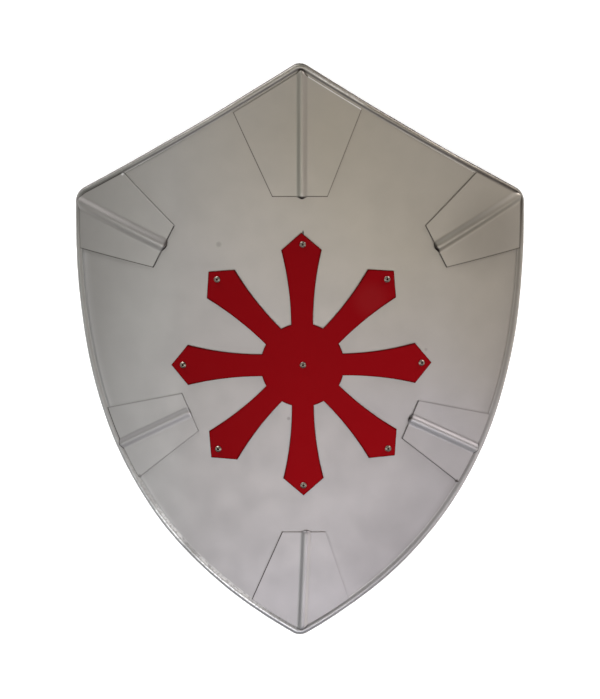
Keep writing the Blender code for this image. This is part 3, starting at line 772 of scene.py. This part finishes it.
def gusset_plans(sizes):
    """Plan of each gusset: the middle of its inner edge, its inward angle, gap, form, and painted
    light and shade.

    The upper gussets lie on slanting lines into the shoulders. The places of the others are taken
    from the cross.
    """
    upper = unrolled(side_line(sizes)[0], sizes) + heading(math.pi + UPPER_SLANT) * UPPER_REACH
    lower_right = heading(-LOWER_RIGHT_BEARING) * (CROSS_RADIUS - LOWER_RIGHT_BITE)
    lower_left = heading(math.pi + LOWER_LEFT_BEARING) * (CROSS_RADIUS - LOWER_LEFT_BITE)
    top = np.array([0.0, CROSS_CENTRE[1] + CROSS_RADIUS + ABOVE_CROSS])
    bottom = np.array([BOTTOM_GUSSET_SIDESTEP, CROSS_CENTRE[1] - CROSS_RADIUS - BELOW_CROSS])
    quarter = math.pi / 2
    layout = {
        "top": (top, -quarter, sizes.top_gusset_rim_gap),
        "upper_right": (upper, math.pi + UPPER_SLANT, sizes.sheet_gap),
        "upper_left": (upper * np.array([-1.0, 1.0]), -UPPER_SLANT, sizes.sheet_gap),
        "lower_right": (CROSS_CENTRE + lower_right, math.pi - LOWER_SLANT, sizes.gusset_rim_gap),
        "lower_left": (CROSS_CENTRE + lower_left, LOWER_SLANT, sizes.gusset_rim_gap),
        "bottom": (bottom, quarter, sizes.gusset_rim_gap),
    }
    plans = {}
    for name, (middle, inward, gap) in layout.items():
        inner_width, right_flare, left_flare, lean, sidestep, nose_lean = GUSSET_FORMS[name]
        plans[name + "_gusset"] = {
            "middle": middle,
            "inward": inward,
            "gap": gap,
            "inner_width": inner_width,
            "flares": (math.radians(right_flare), math.radians(left_flare)),
            "bead_width": getattr(sizes, name + "_bead_width", sizes.bead_width),
            "bead_height": getattr(sizes, name + "_bead"),
            "lean": math.radians(lean),
            "sidestep": sidestep,
            "nose_lean": nose_lean,
            "wear": dict(zip(SHADE_PLACES, GUSSET_SHADE_AND_WEAR[name])),
        }
    return plans


def reach_to(loop, starts, directions):
    """Distance from each start along its direction to the first crossing of the closed line."""
    along = np.roll(loop, -1, axis=0) - loop
    gap = loop[None] - starts[:, None]
    slope = crossed(directions[:, None], along[None])
    slope = np.where(np.abs(slope) < 1e-12, 1e-12, slope)
    distance = crossed(gap, along[None]) / slope
    place = crossed(gap, directions[:, None]) / slope
    met = (place >= 0) & (place <= 1) & (distance > 0)
    return np.where(met, distance, np.inf).min(axis=1)


def gusset_columns(sizes, plan):
    """Offset from the middle and turn from the bead of each column, from the left to the right.

    The columns of the bead run side by side, and the others open out in even steps to the
    flares of the sides, with a narrow strip along each side.
    """
    half_bead = plan["bead_width"] / 2
    half_inner = plan["inner_width"] / 2
    out = np.linspace(0.0, 1.0, FLAT_COLUMNS)[1:]
    sides = []
    for side, flare in zip((-1, 1), plan["flares"]):
        strip = sizes.dark_line_width / math.cos(flare)
        bead_edge = plan["sidestep"] + side * half_bead
        offset = bead_edge + (side * (half_inner - strip) - bead_edge) * out
        offset = np.append(offset, side * half_inner)
        turn = (-side * flare - plan["lean"]) * np.append(out, 1.0)
        sides.append(np.stack([offset, turn]))
    bead = plan["sidestep"] + np.linspace(half_bead, -half_bead, BEAD_COLUMNS)
    right, left = sides
    return np.concatenate([left[:, ::-1], np.stack([bead, 0.0 * bead]), right], axis=1)


def gusset_mesh(name, sizes, plan):
    """Front of a gusset: columns that run out from its inner edge to its outline at the rim.

    The bead's height is its full height times the squared cosine of pi times the distance from
    its middle over its width. At the inner edge it ends in a nose, which leans out over the
    edge by its lean times that cosine and falls to the sheet as a quarter ellipse. At the outer
    edge it reaches on over the rod by its overhang times that cosine, and falls to half there.
    """
    inward = heading(plan["inward"])
    bead_middle = plan["middle"] + left_of(inward) * plan["sidestep"]
    offset, turn = gusset_columns(sizes, plan)
    starts = plan["middle"] + left_of(inward) * offset[:, None]
    directions = heading(plan["inward"] + math.pi + plan["lean"] + turn)
    loop = inset(rim_line(sizes), beside_rim(sizes, sizes.sheet_gap, plan["gap"]))
    trimmed = reach_to(loop, starts, directions)
    from_bead = np.where(turn == 0.0, (offset - plan["sidestep"]) / plan["bead_width"], 0.5)
    end_share = np.cos(math.pi * from_bead) ** 2
    reach = trimmed + sizes.bead_overhang * end_share
    last = reach - sizes.dark_line_width
    nose = sizes.nose_length * (1 - np.cos(np.linspace(0.0, math.pi / 2, NOSE_ROWS)))[:, None]
    body = np.linspace(0.0, 1.0, GUSSET_ROWS)[1:, None]
    run = np.concatenate([nose + 0.0 * reach, nose[-1] + (last - nose[-1]) * body, reach[None]])
    flat = starts + directions * run[..., None]
    from_middle = (flat - bead_middle) @ left_of(heading(plan["inward"] + plan["lean"]))
    place = np.clip(from_middle / plan["bead_width"], -0.5, 0.5)
    bead_share = np.cos(math.pi * place) ** 2
    short_of = ramp(run, sizes.nose_length, 0.0)
    flat = flat + inward * (plan["nose_lean"] * bead_share * short_of)[..., None]
    height = sizes.sheet_gap + sizes.gusset_thickness + waves(flat, sizes)
    past = ramp(run - trimmed, 0.0, sizes.bead_overhang)
    height = height + plan["bead_height"] * bead_share * np.sqrt(1 - short_of ** 2) * (1 - past / 2)
    placed = set_down(rolled(flat, height, sizes), sizes)
    return welded_mesh(name, [placed], [gusset_shade_and_wear(sizes, plan, offset, run, place, short_of)])


def gusset_shade_and_wear(sizes, plan, offset, run, place, short_of):
    """Painted light and shade of a gusset's points, from their run, their place across the bead and
    the nose's share.

    Each edge, the nose and the bead's outer end take their own: dark seams with painted shade at
    the edges, painted shadow at the nose and the end. The flanks take theirs times the squared sine
    of two pi times the place, and the crest times the fourth power of the bead.
    """
    wear = plan["wear"]
    bead_share = np.cos(math.pi * place) ** 2
    worn_rows = wear["inner"] * ramp(run, sizes.dark_line_width, 0.0)
    dirty_nose = np.sqrt(bead_share) * ramp(short_of, 0.35, 0.65)
    worn_rows = np.maximum(worn_rows, wear["nose"] * dirty_nose)
    flank = np.where(place > 0, wear["left_flank"], wear["right_flank"])
    worn_rows = worn_rows + flank * np.sin(math.tau * place) ** 2 + wear["crest"] * bead_share ** 4
    worn_rows[-1] = np.where(offset > 0, wear["outer_left"], wear["outer_right"])
    worn_rows[-1] = np.where(bead_share[-1] > 0.02, wear["end"], worn_rows[-1])
    worn_rows[:, 0] = wear["left"]
    worn_rows[:, -1] = wear["right"]
    return worn_rows


# Cross and rivets


def arm_angles():
    """Directions of the arms, from the one that points up."""
    count = len(ARM_LENGTHENING)
    return math.pi / 2 + CROSS_TURN + math.tau * np.arange(count) / count


def cross_mesh(sizes):
    """Front of the cross: a hub of rings, and an arm from each of eight arcs of its outer ring.

    Along an arm, rows pass in even steps from the hub's arc to the arm's pointed end, and the
    half width grows from the waist with the square of the share of the flank.
    """
    waist = WAIST_WIDTH / 2
    widest = ARM_WIDTH / 2
    root = math.sqrt(HUB_RADIUS ** 2 - waist ** 2)
    root_angle = math.atan2(waist, root)
    u = np.linspace(-1.0, 1.0, ARM_COLUMNS + 1)
    v = np.linspace(0.0, 1.0, ARM_ROWS)[:, None]
    half_width = waist + (widest - waist) * v ** 2
    end = CROSS_RADIUS - ARM_POINT_LENGTH * np.abs(u)
    run = (1 - v) * HUB_RADIUS * np.cos(u * root_angle) + v * end
    side = half_width * ((1 - v) * np.sin(u * root_angle) / math.sin(root_angle) + v * u)
    spacing = math.tau / len(ARM_LENGTHENING)
    gap = np.linspace(root_angle, spacing - root_angle, GAP_COLUMNS + 1)[1:-1]
    sector = np.concatenate([u * root_angle, gap])
    angles = (arm_angles()[:, None] + sector).ravel()
    rings = np.linspace(0.0, HUB_RADIUS, HUB_RINGS)[:, None, None]
    hub = CROSS_CENTRE + rings * heading(angles)
    flats = [np.concatenate([hub, hub[:, :1]], axis=1)]
    # Dirt and painted shade along the cross's outer edges
    edge = np.zeros(flats[0].shape[:2])
    edge[-1] = CROSS_EDGE_DIRT_AND_SHADE * (np.arange(len(edge[0])) % len(sector) > ARM_COLUMNS)
    arm_edge = np.zeros(side.shape)
    arm_edge[:, [0, -1]] = CROSS_EDGE_DIRT_AND_SHADE
    arm_edge[-1] = CROSS_EDGE_DIRT_AND_SHADE
    for angle, lengthening in zip(arm_angles(), ARM_LENGTHENING):
        forward = heading(angle)
        reach = (run + v * lengthening)[..., None] * forward
        flats.append(CROSS_CENTRE + reach + side[..., None] * left_of(forward))
    grids = []
    for flat in flats:
        height = sizes.sheet_gap + sizes.cross_thickness + waves(flat, sizes)
        grids.append(set_down(rolled(flat, height, sizes), sizes))
    return welded_mesh("red_cross", grids, [edge] + [arm_edge] * len(ARM_LENGTHENING))


def section(radius, height):
    """Points of a half section, from their radii and heights."""
    return np.stack(np.broadcast_arrays(radius, height), axis=1)


def rivet_profile(sizes):
    """Half section of a set blind rivet, as radius and height, from its bore over the head down.

    The stub in the bore is a low dome, the lip and the head's edge are quarter rounds, and the
    head falls with the square of the share of its width. The tail is half an ellipse made
    blunter: its radius grows from the bore's by its sine to a power under one.
    """
    seat = 2 * sizes.sheet_gap + sizes.cross_thickness
    crown = seat + sizes.rivet_head_height
    back = -sizes.plate_thickness - sizes.sheet_gap
    bore = sizes.rivet_bore / 2
    head = sizes.rivet_head / 2
    shank = sizes.rivet_shank / 2
    tail = sizes.rivet_tail / 2
    inner = bore + LIP_ROUNDING
    outer = head - HEAD_ROUNDING
    level = crown - sizes.rivet_head_height + 2 * HEAD_ROUNDING
    t = np.linspace(0.0, 1.0, 12)
    quarter = np.linspace(0.0, math.pi / 2, 6)
    swell = np.linspace(0.0, math.pi, 16)[1:]
    stub = section(STUB_SHARE * bore * t, crown - STUB_DEPTH - STUB_FALL * t ** 2)
    floor = section([HOLLOW_SHARE * bore, bore], crown - BORE_DEPTH)
    lip_up = crown - LIP_ROUNDING * (1 - np.sin(quarter))
    edge_down = level - HEAD_ROUNDING * (1 - np.cos(quarter))
    tail_down = back - sizes.rivet_tail_length * (1 - np.cos(swell)) / 2
    parts = [
        stub,
        floor,
        section(bore + LIP_ROUNDING * (1 - np.cos(quarter)), lip_up),
        section(inner + (outer - inner) * t, crown - (crown - level) * t ** 2),
        section(outer + HEAD_ROUNDING * np.sin(quarter), edge_down),
        section([head, outer, shank, shank], [seat + UNDERCUT, seat, seat, back]),
        section(bore + (tail - bore) * np.sin(swell) ** TAIL_POWER, tail_down),
        section([0.0], back - sizes.rivet_tail_length),
    ]
    profile = np.concatenate(parts)
    # The points of the bore and the stub carry painted shade
    dirty = len(stub) + len(floor) + 3
    return profile, np.where(np.arange(len(profile)) < dirty, 1.0, 0.0)


def rivet_mesh(name, sizes, place):
    """The rivet's half section turned about its own line, which stands square on the bow.

    The lower half of its head carries painted shade.
    """
    profile, grime = rivet_profile(sizes)
    turn = np.linspace(0.0, math.tau, RIVET_SECTORS, endpoint=False)
    radius = profile[:, 0][:, None]
    height = np.broadcast_to(profile[:, 1][:, None], (len(profile), RIVET_SECTORS))
    foot = rolled(place, waves(place, sizes), sizes)
    angle = place[0] / sizes.bow_radius
    right = np.array([math.cos(angle), 0.0, -math.sin(angle)])
    up = np.array([0.0, 1.0, 0.0])
    outward = np.array([math.sin(angle), 0.0, math.cos(angle)])
    points = foot + (radius * np.cos(turn))[..., None] * right
    points = points + (radius * np.sin(turn))[..., None] * up + height[..., None] * outward
    # Painted shade in the bore and on the head's lower half
    wear = np.maximum(grime[:, None], HEAD_SHADE * np.clip(0.3 - np.sin(turn), 0.0, 1.0))
    mesh = welded_mesh(name, [set_down(points, sizes)], [wear], closed=True)
    mesh.set_sharp_from_angle(angle=math.radians(40))
    return mesh


# Finishes


def scaled(tint, factor):
    """A colour times a number."""
    return tuple(channel * factor for channel in tint)


class Finish:
    """A material whose nodes are added one by one: most methods give the socket they end in."""

    def __init__(self, name):
        self.material = bpy.data.materials.new(name)
        self.material.use_nodes = True
        self.nodes = self.material.node_tree.nodes
        self.links = self.material.node_tree.links
        self.shader = self.nodes["Principled BSDF"]
        self.place = self.nodes.new("ShaderNodeTexCoord").outputs["Object"]

    def feed(self, node, values):
        """Give a node's inputs, by name or number, a value or a link from a socket."""
        for name, value in values.items():
            if isinstance(value, bpy.types.NodeSocket):
                self.links.new(value, node.inputs[name])
            else:
                node.inputs[name].default_value = value

    def add(self, kind, values, **options):
        """A new node of a kind, with its options and what feeds it."""
        node = self.nodes.new(kind)
        for option, value in options.items():
            setattr(node, option, value)
        self.feed(node, values)
        return node

    def spread(self, value, low, high, span=(0.3, 0.7)):
        """A value that runs over a span, spread between low and high."""
        values = {"Value": value, "From Min": span[0], "From Max": span[1]}
        values.update({"To Min": low, "To Max": high})
        return self.add("ShaderNodeMapRange", values).outputs["Result"]

    def noise(self, scale, detail):
        """Noise of a scale per metre."""
        values = {"Vector": self.place, "Scale": scale, "Detail": detail}
        return self.add("ShaderNodeTexNoise", values).outputs["Fac"]

    def rise(self, axis, low, high, start, end):
        """Low to high from a start to an end along an axis."""
        apart = self.add("ShaderNodeSeparateXYZ", {"Vector": self.place})
        return self.spread(apart.outputs[axis], low, high, (start, end))

    def mixed(self, factor, first, second, blend="MIX"):
        """Colour mixed from a first and a second, each a colour or a socket."""
        values = {0: factor}
        for number, tone in ((6, first), (7, second)):
            values[number] = tone if isinstance(tone, bpy.types.NodeSocket) else (*tone, 1.0)
        return self.add("ShaderNodeMix", values, data_type="RGBA", blend_type=blend).outputs[2]

    def worn(self, base, grime, bare=None, patches=None):
        """A colour that gives way to the dark colour where its points carry painted shade or dirt,
        and to the pale colour where they carry painted light.

        Patches, a value from nought to one, break up the pale places.
        """
        wear = self.add("ShaderNodeAttribute", {}, attribute_name=SHADE_AND_WEAR).outputs["Fac"]
        base = self.mixed(wear, base, grime)
        if bare is None:
            return base
        share_out = self.spread(wear, 1.0, 0.0, (-1.0, 0.0))
        if patches is not None:
            both = self.add("ShaderNodeMath", {0: share_out, 1: patches}, operation="MULTIPLY")
            share_out = both.outputs["Value"]
        return self.mixed(share_out, base, bare)

    def spot(self, sizes, flat, radius, strength, narrowing):
        """Share of a round mark: its strength in the middle, fading out at its radius."""
        middle = set_down(rolled(np.array(flat), 0.0, sizes), sizes)
        scale = (radius / narrowing, radius, radius)
        values = {"Vector": self.place, "Location": middle, "Scale": scale}
        centred = self.add("ShaderNodeMapping", values, vector_type="TEXTURE").outputs["Vector"]
        ball = self.add("ShaderNodeTexGradient", {"Vector": centred}, gradient_type="SPHERICAL")
        return self.spread(ball.outputs["Fac"], 0.0, strength, (0.0, 0.6))

    def bump(self, height, strength, distance):
        """Raise the shader's surface by a height from nought to one."""
        values = {"Height": height, "Strength": strength, "Distance": distance}
        self.feed(self.shader, {"Normal": self.add("ShaderNodeBump", values).outputs["Normal"]})


def silver_finish(sizes, finishes, name, tint, roughness, grain_height, patchy=False):
    """Satin silver: cloudy in tone and gloss, with a fine sprayed grain under a thin lacquer. It
    carries a painted light tint, warmer at the top and bluer low down, and painted shade, painted
    light and marks.

    Where it is patchy, its painted highlights are broken up into specks of painted glint.
    """
    finish = Finish(name)
    cloud = finish.noise(scale=14.0, detail=3.0)
    base = finish.mixed(cloud, scaled(tint, 0.975), scaled(tint, 1.025))
    # Painted light tint: warmer at the top, bluer low down
    painted_light_tint = finish.mixed(finish.rise("Y", 0.0, 1.0, -0.25, 0.25), LOWER_TINT, UPPER_TINT)
    base = finish.mixed(1.0, base, painted_light_tint, "MULTIPLY")
    # Painted tints of light, painted shade, painted light and marks
    for tone, *mark in SILVER_MARKS_AND_PAINTED_LIGHT:
        base = finish.mixed(finish.spot(sizes, *mark), base, getattr(finishes, tone))
    patches = None
    if patchy:
        patches = finish.spread(finish.noise(scale=400.0, detail=2.0), 0.35, 1.0, (0.38, 0.52))
    gloss = finish.noise(scale=42.0, detail=4.0)
    finish.feed(finish.shader, {
        "Base Color": finish.worn(base, finishes.grime, finishes.bare, patches),
        "Metallic": finishes.silver_metal,
        "Roughness": finish.spread(gloss, roughness - 0.03, roughness + 0.03),
        "Coat Weight": finishes.silver_lacquer,
        "Coat Roughness": 0.16,
    })
    finish.bump(finish.noise(scale=1300.0, detail=2.0), 0.15, grain_height)
    return finish.material


def red_finish(sizes, finishes):
    """Dark red paint: paler towards the lower point, darker to the left, with a painted reflection on
    one arm, and dirt with painted shade at its edges.
    """
    finish = Finish("red_paint_finish")
    red = finishes.red
    base = finish.mixed(
        finish.rise("Y", 0.0, 1.0, -0.14, 0.12), scaled(red, 1.15), scaled(red, 0.88)
    )
    base = finish.mixed(finish.rise("X", 1.0, 0.0, -0.13, 0.0), base, scaled(red, 0.84))
    base = finish.mixed(finish.spot(sizes, *RED_REFLECTION_SPOT), base, finishes.red_reflection)
    rough = finishes.red_roughness
    gloss = finish.noise(scale=60.0, detail=4.0)
    finish.feed(finish.shader, {
        "Base Color": finish.worn(base, scaled(red, 0.12)),
        "Roughness": finish.spread(gloss, rough - 0.05, rough + 0.06),
        "Specular IOR Level": finishes.red_shine,
    })
    finish.bump(finish.noise(scale=420.0, detail=3.0), 0.15, 0.0002)
    return finish.material


def rivet_finish(finishes):
    """Dull aluminium, scuffed by the setting tool, with painted shade in the bore and on the head's
    lower half.
    """
    finish = Finish("rivet_metal_finish")
    cloud = finish.noise(scale=900.0, detail=3.0)
    base = finish.mixed(cloud, scaled(finishes.rivet, 0.7), finishes.rivet)
    rough = finishes.rivet_roughness
    gloss = finish.noise(scale=1500.0, detail=2.0)
    finish.feed(finish.shader, {
        "Base Color": finish.worn(base, finishes.grime),
        "Metallic": 1.0,
        "Roughness": finish.spread(gloss, rough - 0.06, rough + 0.08),
    })
    return finish.material


def silver(sizes, finishes):
    """Finish of the plate and the gussets, made at its first use."""
    name = "satin_silver"
    if name not in bpy.data.materials:
        silver_finish(sizes, finishes, name, finishes.silver, finishes.silver_roughness, 0.00005)
    return bpy.data.materials[name]


# Stage


def staged(name, mesh, finish):
    """A piece of the stage with its finish."""
    mesh.materials.append(finish.material)
    piece = bpy.data.objects.new(name, mesh)
    bpy.context.scene.collection.objects.link(piece)
    return piece


def add_floor(settings):
    """Level floor that glows a little, and as bright as the backdrop away from the shield."""
    mesh = bpy.data.meshes.new("floor")
    corners = np.array([(-1.0, -1.0, 0.0), (1.0, -1.0, 0.0), (1.0, 1.0, 0.0), (-1.0, 1.0, 0.0)])
    mesh.from_pydata((corners * FLOOR_REACH).tolist(), [], [(0, 1, 2, 3)])
    finish = Finish("pale_floor")
    far = finish.add("ShaderNodeVectorMath", {0: finish.place}, operation="LENGTH")
    finish.feed(finish.shader, {
        "Base Color": (*settings.floor, 1.0),
        "Roughness": 0.9,
        "Emission Color": WHITE,
        "Emission Strength": finish.spread(
            far.outputs["Value"], settings.floor_glow, 1.0, FLOOR_FADE
        ),
    })
    staged("floor", mesh, finish)


def add_backdrop():
    """White ball round the stage that only the camera sees, so it sheds no light on the shield.

    A point is the ball's radius along a bearing and a rise, from straight down to straight up.
    """
    rise = np.linspace(-math.pi / 2, math.pi / 2, 17)[:, None]
    bearing = np.linspace(0.0, math.tau, 32, endpoint=False)
    places = [np.cos(rise) * np.cos(bearing), np.cos(rise) * np.sin(bearing), np.sin(rise)]
    grid = np.stack(np.broadcast_arrays(*places), axis=-1) * BACKDROP_RADIUS
    finish = Finish("white_backdrop")
    finish.feed(finish.shader, {
        "Base Color": (0.0, 0.0, 0.0, 1.0),
        "Emission Color": WHITE,
        "Emission Strength": 1.0,
    })
    backdrop = staged("backdrop", welded_mesh("backdrop", [grid], [0.0], closed=True), finish)
    for rays in ("diffuse", "glossy", "transmission", "shadow"):
        setattr(backdrop, "visible_" + rays, False)


def add_lamp(name, bearing, rise, size, watts, tint):
    """Soft lamp on a dome over the shield, at a bearing and a rise, that shines on its middle."""
    light = bpy.data.lights.new(name, "AREA")
    light.shape = "RECTANGLE"
    light.size, light.size_y = size
    light.energy = watts
    light.color = tint
    lamp = bpy.data.objects.new(name, light)
    flat = heading(math.radians(bearing)) * math.cos(math.radians(rise))
    outward = Vector((flat[0], flat[1], math.sin(math.radians(rise))))
    lamp.location = outward * LAMP_DISTANCE
    lamp.rotation_euler = outward.to_track_quat("Z", "Y").to_euler()
    bpy.context.scene.collection.objects.link(lamp)


def add_camera(sizes):
    """Camera that looks down on the shield as the photograph does."""
    data = bpy.data.cameras.new("camera")
    data.sensor_fit = "VERTICAL"
    data.sensor_height = SENSOR_HEIGHT
    data.lens = FOCAL_PIXELS * SENSOR_HEIGHT / IMAGE_HEIGHT
    data.shift_x = (IMAGE_WIDTH / 2 - IMAGE_CENTRE[0]) / IMAGE_HEIGHT
    data.shift_y = (IMAGE_CENTRE[1] - IMAGE_HEIGHT / 2) / IMAGE_HEIGHT
    data.clip_end = FARTHEST_SEEN
    made = bpy.data.objects.new("camera", data)
    stand = np.array([0.0, math.sin(CAMERA_TILT), math.cos(CAMERA_TILT)]) * CAMERA_DISTANCE
    place = Vector(set_down(stand, sizes))
    crown = Vector(set_down(np.zeros(3), sizes))
    back = (place - crown).normalized()
    right = Vector((1.0, 0.0, 0.0))
    axes = Matrix((right, back.cross(right), back)).transposed()
    made.matrix_world = Matrix.Translation(place) @ axes.to_4x4()
    bpy.context.scene.collection.objects.link(made)
    bpy.context.scene.camera = made


# Operators


class SHIELD_OT_plate(bpy.types.Operator):
    """Make the bowed plate"""

    bl_idname = "shield.plate"
    bl_label = "Plate"

    def execute(self, context):
        sizes = context.scene.shield_sizes
        surface = silver(sizes, context.scene.shield_finishes)
        piece = finished("shield_plate", plate_mesh(sizes), surface)
        thicken(piece, sizes.plate_thickness, 0.0)
        return {"FINISHED"}


class SHIELD_OT_rim(bpy.types.Operator):
    """Make the rod along the edge"""

    bl_idname = "shield.rim"
    bl_label = "Rim"

    def execute(self, context):
        sizes = context.scene.shield_sizes
        finishes = context.scene.shield_finishes
        # The rod's painted highlights are broken into specks of painted glint
        surface = silver_finish(
            sizes, finishes, "rim_silver_finish", finishes.rim, finishes.rim_roughness, 0.00025, True
        )
        finished("edge_rim", rim_mesh(sizes), surface)
        return {"FINISHED"}


class SHIELD_OT_gussets(bpy.types.Operator):
    """Make the beaded gussets"""

    bl_idname = "shield.gussets"
    bl_label = "Gussets"

    def execute(self, context):
        sizes = context.scene.shield_sizes
        surface = silver(sizes, context.scene.shield_finishes)
        for name, plan in gusset_plans(sizes).items():
            piece = finished(name, gusset_mesh(name, sizes, plan), surface)
            thicken(piece, sizes.gusset_thickness, sizes.edge_rounding)
        return {"FINISHED"}


class SHIELD_OT_cross(bpy.types.Operator):
    """Make the cross"""

    bl_idname = "shield.cross"
    bl_label = "Cross"

    def execute(self, context):
        sizes = context.scene.shield_sizes
        surface = red_finish(sizes, context.scene.shield_finishes)
        piece = finished("red_cross", cross_mesh(sizes), surface)
        thicken(piece, sizes.cross_thickness, sizes.edge_rounding)
        return {"FINISHED"}


class SHIELD_OT_rivets(bpy.types.Operator):
    """Make the rivets of the cross"""

    bl_idname = "shield.rivets"
    bl_label = "Rivets"

    def execute(self, context):
        sizes = context.scene.shield_sizes
        surface = rivet_finish(context.scene.shield_finishes)
        places = {"centre_rivet": CROSS_CENTRE}
        for number, angle in enumerate(arm_angles(), 1):
            places["arm_rivet_%d" % number] = CROSS_CENTRE + heading(angle) * RIVET_CIRCLE
        for number, (name, place) in enumerate(places.items()):
            place = place + np.array(RIVETS_ASTRAY.get(number, (0.0, 0.0)))
            finished(name, rivet_mesh(name, sizes, place), surface)
        return {"FINISHED"}


class SHIELD_OT_stage(bpy.types.Operator):
    """Make the floor, the backdrop, the lights and the camera"""

    bl_idname = "shield.stage"
    bl_label = "Stage"

    def execute(self, context):
        scene = context.scene
        settings = scene.shield_stage
        add_floor(settings)
        add_backdrop()
        scene.world = bpy.data.worlds.new("room")
        scene.world.use_nodes = True
        room = scene.world.node_tree.nodes["Background"]
        room.inputs["Color"].default_value = WHITE
        room.inputs["Strength"].default_value = settings.world
        for name, (bearing, rise, size, tint) in LAMPS.items():
            add_lamp(name, bearing, rise, size, getattr(settings, name), tint)
        add_camera(scene.shield_sizes)
        scene.view_settings.view_transform = "Standard"
        return {"FINISHED"}


class SHIELD_PT_panel(bpy.types.Panel):
    """Sidebar panel of the shield"""

    bl_idname = "SHIELD_PT_panel"
    bl_label = "Heater Shield"
    bl_space_type = "VIEW_3D"
    bl_region_type = "UI"
    bl_category = "Shield"

    def draw(self, context):
        for settings in GROUPS:
            group = getattr(context.scene, settings)
            for name in type(group).__annotations__:
                self.layout.prop(group, name)
        for operator in OPERATORS:
            self.layout.operator(operator.bl_idname)


OPERATORS = (
    SHIELD_OT_plate,
    SHIELD_OT_rim,
    SHIELD_OT_gussets,
    SHIELD_OT_cross,
    SHIELD_OT_rivets,
    SHIELD_OT_stage,
)
GROUPS = {
    "shield_sizes": ShieldSizes,
    "shield_finishes": ShieldFinishes,
    "shield_stage": ShieldStage,
}


def register():
    for name, group in GROUPS.items():
        bpy.utils.register_class(group)
        setattr(bpy.types.Scene, name, bpy.props.PointerProperty(type=group))
    for operator in OPERATORS:
        bpy.utils.register_class(operator)
    bpy.utils.register_class(SHIELD_PT_panel)


def unregister():
    bpy.utils.unregister_class(SHIELD_PT_panel)
    for operator in reversed(OPERATORS):
        bpy.utils.unregister_class(operator)
    for name, group in GROUPS.items():
        delattr(bpy.types.Scene, name)
        bpy.utils.unregister_class(group)


def main():
    register()
    bpy.ops.shield.plate()
    bpy.ops.shield.rim()
    bpy.ops.shield.gussets()
    bpy.ops.shield.cross()
    bpy.ops.shield.rivets()
    bpy.ops.shield.stage()


if __name__ == "__main__":
    main()
